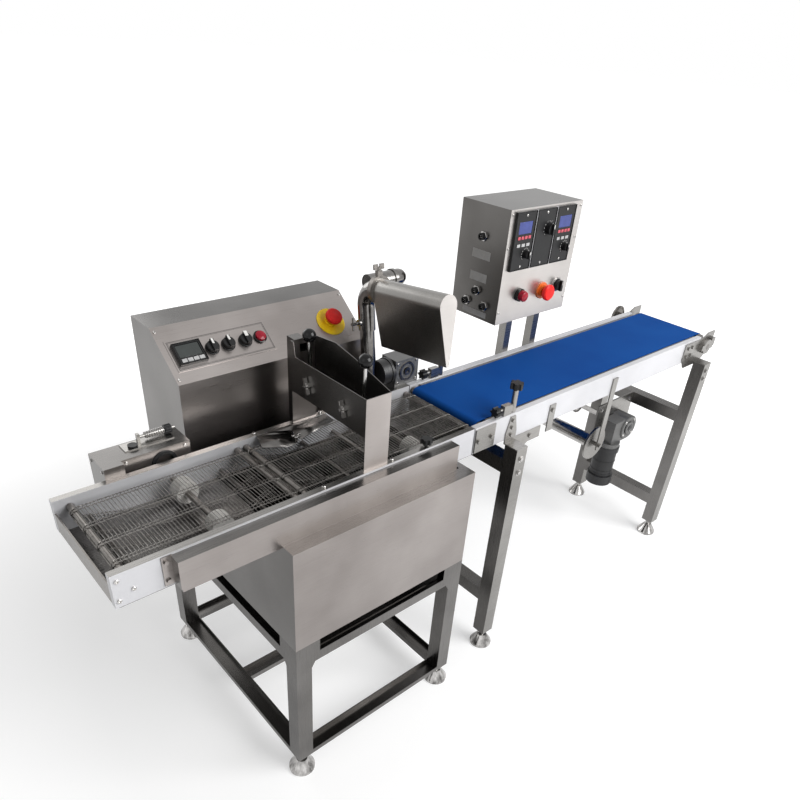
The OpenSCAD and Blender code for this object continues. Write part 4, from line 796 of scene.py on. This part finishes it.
# Blanked branch on the nozzle's elbow
BRANCH = facing(492, 404, 1024, RIGHT)
BRANCH_R, BRANCH_L, COLLAR_OUT, COLLAR_FROM, COLLAR_TO = 20.0, 118.0, 2.5, 74.0, 82.0
bm = bmesh.new()
turned(bm, BRANCH, [(0, 0), (0, BRANCH_R), (COLLAR_FROM, BRANCH_R), (COLLAR_FROM, BRANCH_R + COLLAR_OUT),
                    (COLLAR_TO, BRANCH_R + COLLAR_OUT), (COLLAR_TO, BRANCH_R), (BRANCH_L - 20, BRANCH_R),
                    (BRANCH_L - 10, BRANCH_R - 3), (BRANCH_L - 3, BRANCH_R - 9), (BRANCH_L, 0)], 40)
piece("elbow_branch", bm, pipe_steel, "swivel_arm")

# Drive box: port ring and tension spring
PORT = facing(-78, DRIVE_BOX_NEAR, 758, NEAR)
PORT_R, PORT_WALL, PORT_LIP = 20.0, 25.8, 27.5
SPRING_X, SPRING_Y, SPRING_Z, SPRING_L = -92.0, 398.0, 804.0, 42.0
SPRING_R, SPRING_WIRE, COILS, COIL_STEPS = 6.9, 0.9, 8, 20
bm = bmesh.new()
turned(bm, PORT, [(-3, PORT_R), (-3, PORT_WALL), (0, PORT_WALL), (0, PORT_LIP), (2.5, PORT_LIP),
                  (3.2, PORT_LIP - 1.5), (3.2, PORT_R)], 48, True)
piece("port_ring", bm, black_plastic)
spring = []
for i in range(COILS * COIL_STEPS + 1):
    turn = 2 * math.pi * i / COIL_STEPS
    spring.append(at(SPRING_X + SPRING_L * i / (COILS * COIL_STEPS), SPRING_Y + SPRING_R * math.cos(turn),
                     SPRING_Z + SPRING_R * math.sin(turn)))
wires("tension_spring", [spring], SPRING_WIRE, bright_steel)

# Faces of the mesh gear motor and the worm gearbox, and bands on the belt motor
MESH_MOTOR = facing(576, MESH_MOTOR_NEAR, 806, NEAR)
GEARBOX_COVER = facing(GEARBOX_X, 167, GEARBOX_Z, NEAR)
GEARBOX_FLANGE = facing(GEARBOX_X, GEARBOX_FACE, GEARBOX_Z, NEAR)
BAND_ZS, BAND_H, BAND_IN, BAND_OUT = (250, 262, 300), 3.0, 38.5, 40.2
bm = bmesh.new()
turned(bm, MESH_MOTOR, [(0, 20), (0, 26), (2.5, 25), (2.5, 20)], 40, True)
turned(bm, MESH_MOTOR, [(0, 0), (0, 11), (4, 10), (4, 4), (2, 4), (2, 0)], 32)
piece("mesh_motor_face", bm, roller_steel)
bm = bmesh.new()
turned(bm, GEARBOX_COVER, [(0, 11), (0, 23), (2, 22), (2, 15), (0.8, 14), (0.8, 11)], 40, True)
piece("gearbox_cover", bm, gear_grey)
bm = bmesh.new()
turned(bm, GEARBOX_COVER, [(-2, 0), (-2, 11), (0.6, 11), (1.2, 10), (1.2, 5), (0.4, 4), (0.4, 0)], 32)
piece("gearbox_bore", bm, motor_black)
bm = bmesh.new()
turned(bm, GEARBOX_FLANGE, [(0, 26), (0, 42), (2.5, 41), (2.5, 30), (1, 29), (1, 26)], 48, True)
piece("gearbox_flange", bm, gear_grey)
bm = bmesh.new()
for z in BAND_ZS:
    turned(bm, facing(1458, 199, z, TOP),
           [(0, BAND_IN), (0, BAND_OUT), (BAND_H, BAND_OUT), (BAND_H, BAND_IN)], 48, True)
piece("motor_bands", bm, motor_black)

# Chain: link plates on both sides of the band, with every second pair on the outside
CHAIN_LOW, CHAIN_HIGH = Vector((GEARBOX_X, GEARBOX_Z)), Vector((1642, 735.7))
CHAIN_R, CHAIN_PITCH, CHAIN_STEPS = 28.0, 12.7, 15
CHAIN_NEAR, CHAIN_FAR = 383.4, 392.6
LINK_IN, INNER_LINK, OUTER_LINK = -0.5, 0.4, 1.0
LINK_END, LINK_HALF, LINK_WAIST, LINK_SLOPE = 1.4, 2.9, 1.9, 1.6
chain_way = CHAIN_HIGH - CHAIN_LOW
chain_turn = math.atan2(chain_way.y, chain_way.x)


def chain_arc(middle, start):
    """Half a turn round a sprocket, as (x, z) points."""
    turns = [chain_turn + math.radians(start - 180 * i / CHAIN_STEPS) for i in range(CHAIN_STEPS + 1)]
    return [(middle.x + CHAIN_R * math.cos(t), middle.y + CHAIN_R * math.sin(t)) for t in turns]


links, link_step = spaced(chain_arc(CHAIN_HIGH, 90) + chain_arc(CHAIN_LOW, -90), CHAIN_PITCH)
half = 0.52 * link_step
upper = [(half, LINK_END), (half - LINK_SLOPE, LINK_HALF), (0, LINK_WAIST),
         (LINK_SLOPE - half, LINK_HALF), (-half, LINK_END)]
link_plate = [(x, -y) for x, y in reversed(upper)] + upper
bm = bmesh.new()
for i, (point, way) in enumerate(links):
    for y, normal in ((CHAIN_NEAR, NEAR), (CHAIN_FAR, FAR)):
        place = placed(at(point.x, y, point.y), normal, (way.x, 0, way.y))
        prism(bm, place, link_plate, LINK_IN, INNER_LINK if i % 2 else OUTER_LINK)
piece("chain_links", bm, roller_steel)


# Stage: world, floor, lamps and camera
def seen_directly(tree):
    """1 for the camera, reflections and what is seen through glass, 0 for light."""
    path = tree.nodes.new("ShaderNodeLightPath")
    seen = path.outputs["Is Camera Ray"]
    for ray in ("Is Glossy Ray", "Is Transmission Ray"):
        either = tree.nodes.new("ShaderNodeMath")
        either.operation = "MAXIMUM"
        tree.links.new(seen, either.inputs[0])
        tree.links.new(path.outputs[ray], either.inputs[1])
        seen = either.outputs[0]
    return seen


def ranged(tree, value, low, high):
    """A value mapped between two (from, to) pairs."""
    reach = tree.nodes.new("ShaderNodeMapRange")
    for end, (start, result) in (("Min", low), ("Max", high)):
        reach.inputs["From " + end].default_value = start
        reach.inputs["To " + end].default_value = result
    tree.links.new(value, reach.inputs["Value"])
    return reach.outputs["Result"]


WORLD_LIGHT = 0.28
world = bpy.data.worlds.new("studio")
bpy.context.scene.world = world
world.use_nodes = True
background = world.node_tree.nodes["Background"]
background.inputs["Color"].default_value = (1, 1, 1, 1)
world_strength = ranged(world.node_tree, seen_directly(world.node_tree), (0, WORLD_LIGHT), (1, 1))
world.node_tree.links.new(world_strength, background.inputs["Strength"])

# The floor keeps the object's shadow near it and fades to the white background further off
FLOOR_HALF, FLOOR_Z, FLOOR_GREY = 40.0, -0.0005, 0.6
NEAR_LIFT, FAR_LIFT = (1.0, 0.45), (2.6, 0.95)
floor_mesh = bpy.data.meshes.new("floor")
floor_corners = [(x * FLOOR_HALF, y * FLOOR_HALF, FLOOR_Z) for x, y in ((-1, -1), (1, -1), (1, 1), (-1, 1))]
floor_mesh.from_pydata(floor_corners, [], [(0, 1, 2, 3)])
floor = bpy.data.objects.new("floor", floor_mesh)
bpy.context.collection.objects.link(floor)
floor_mat = bpy.data.materials.new("pale_floor")
floor_mat.use_nodes = True
tree = floor_mat.node_tree
tree.nodes.clear()
diffuse = tree.nodes.new("ShaderNodeBsdfDiffuse")
diffuse.inputs["Color"].default_value = (FLOOR_GREY, FLOOR_GREY, FLOOR_GREY, 1)
glow = tree.nodes.new("ShaderNodeEmission")
both = tree.nodes.new("ShaderNodeAddShader")
out = tree.nodes.new("ShaderNodeOutputMaterial")
distance = tree.nodes.new("ShaderNodeVectorMath")
distance.operation = "LENGTH"
floor_coords = tree.nodes.new("ShaderNodeTexCoord")
tree.links.new(floor_coords.outputs["Object"], distance.inputs[0])
lift = tree.nodes.new("ShaderNodeMath")
lift.operation = "MULTIPLY"
tree.links.new(seen_directly(tree), lift.inputs[0])
tree.links.new(ranged(tree, distance.outputs["Value"], NEAR_LIFT, FAR_LIFT), lift.inputs[1])
tree.links.new(lift.outputs[0], glow.inputs["Strength"])
tree.links.new(diffuse.outputs[0], both.inputs[0])
tree.links.new(glow.outputs[0], both.inputs[1])
tree.links.new(both.outputs[0], out.inputs["Surface"])
floor_mesh.materials.append(floor_mat)

LAMP_AIM = (0, 0, 0.7)


def lamp(name, place, size, power):
    """A soft square lamp aimed at the machine."""
    light = bpy.data.lights.new(name, "AREA")
    light.size = size
    light.energy = power
    obj = bpy.data.objects.new(name, light)
    obj.location = place
    obj.rotation_euler = (Vector(LAMP_AIM) - Vector(place)).to_track_quat("-Z", "Y").to_euler()
    bpy.context.collection.objects.link(obj)


lamp("key", (1.1, -2.7, 2.5), size=2.4, power=150)
lamp("fill", (-3.2, -0.6, 2.6), size=2.4, power=10)
lamp("back", (-0.5, 3.2, 2.0), size=2.0, power=25)

# Camera solved from the photograph
CAMERA_AT = (-1.2301, -1.1468, 1.5278)
YAW, PITCH_UP, ROLL = math.radians(43.9), math.radians(-34.8), math.radians(4.5)
FOCAL_PX, IMAGE_PX, AXIS_BELOW_PX = 680.1, 800, 100
SENSOR, CLIP_END = 36.0, 200
ahead = Vector((math.sin(YAW), math.cos(YAW), 0))
forward = math.cos(PITCH_UP) * ahead + math.sin(PITCH_UP) * Vector(TOP)
sideways = Vector((math.cos(YAW), -math.sin(YAW), 0))
upright = sideways.cross(forward)
camera_right = math.cos(ROLL) * sideways + math.sin(ROLL) * upright
camera_up = -math.sin(ROLL) * sideways + math.cos(ROLL) * upright
camera_data = bpy.data.cameras.new("photo_view")
camera_data.sensor_width = SENSOR
camera_data.lens = FOCAL_PX / IMAGE_PX * SENSOR
camera_data.shift_y = AXIS_BELOW_PX / IMAGE_PX
camera_data.clip_end = CLIP_END
camera = bpy.data.objects.new("photo_view", camera_data)
view_matrix = Matrix((camera_right, camera_up, -forward)).transposed().to_4x4()
view_matrix.translation = CAMERA_AT
camera.matrix_world = view_matrix
bpy.context.collection.objects.link(camera)
bpy.context.scene.camera = camera
bpy.context.scene.view_settings.view_transform = "Standard"
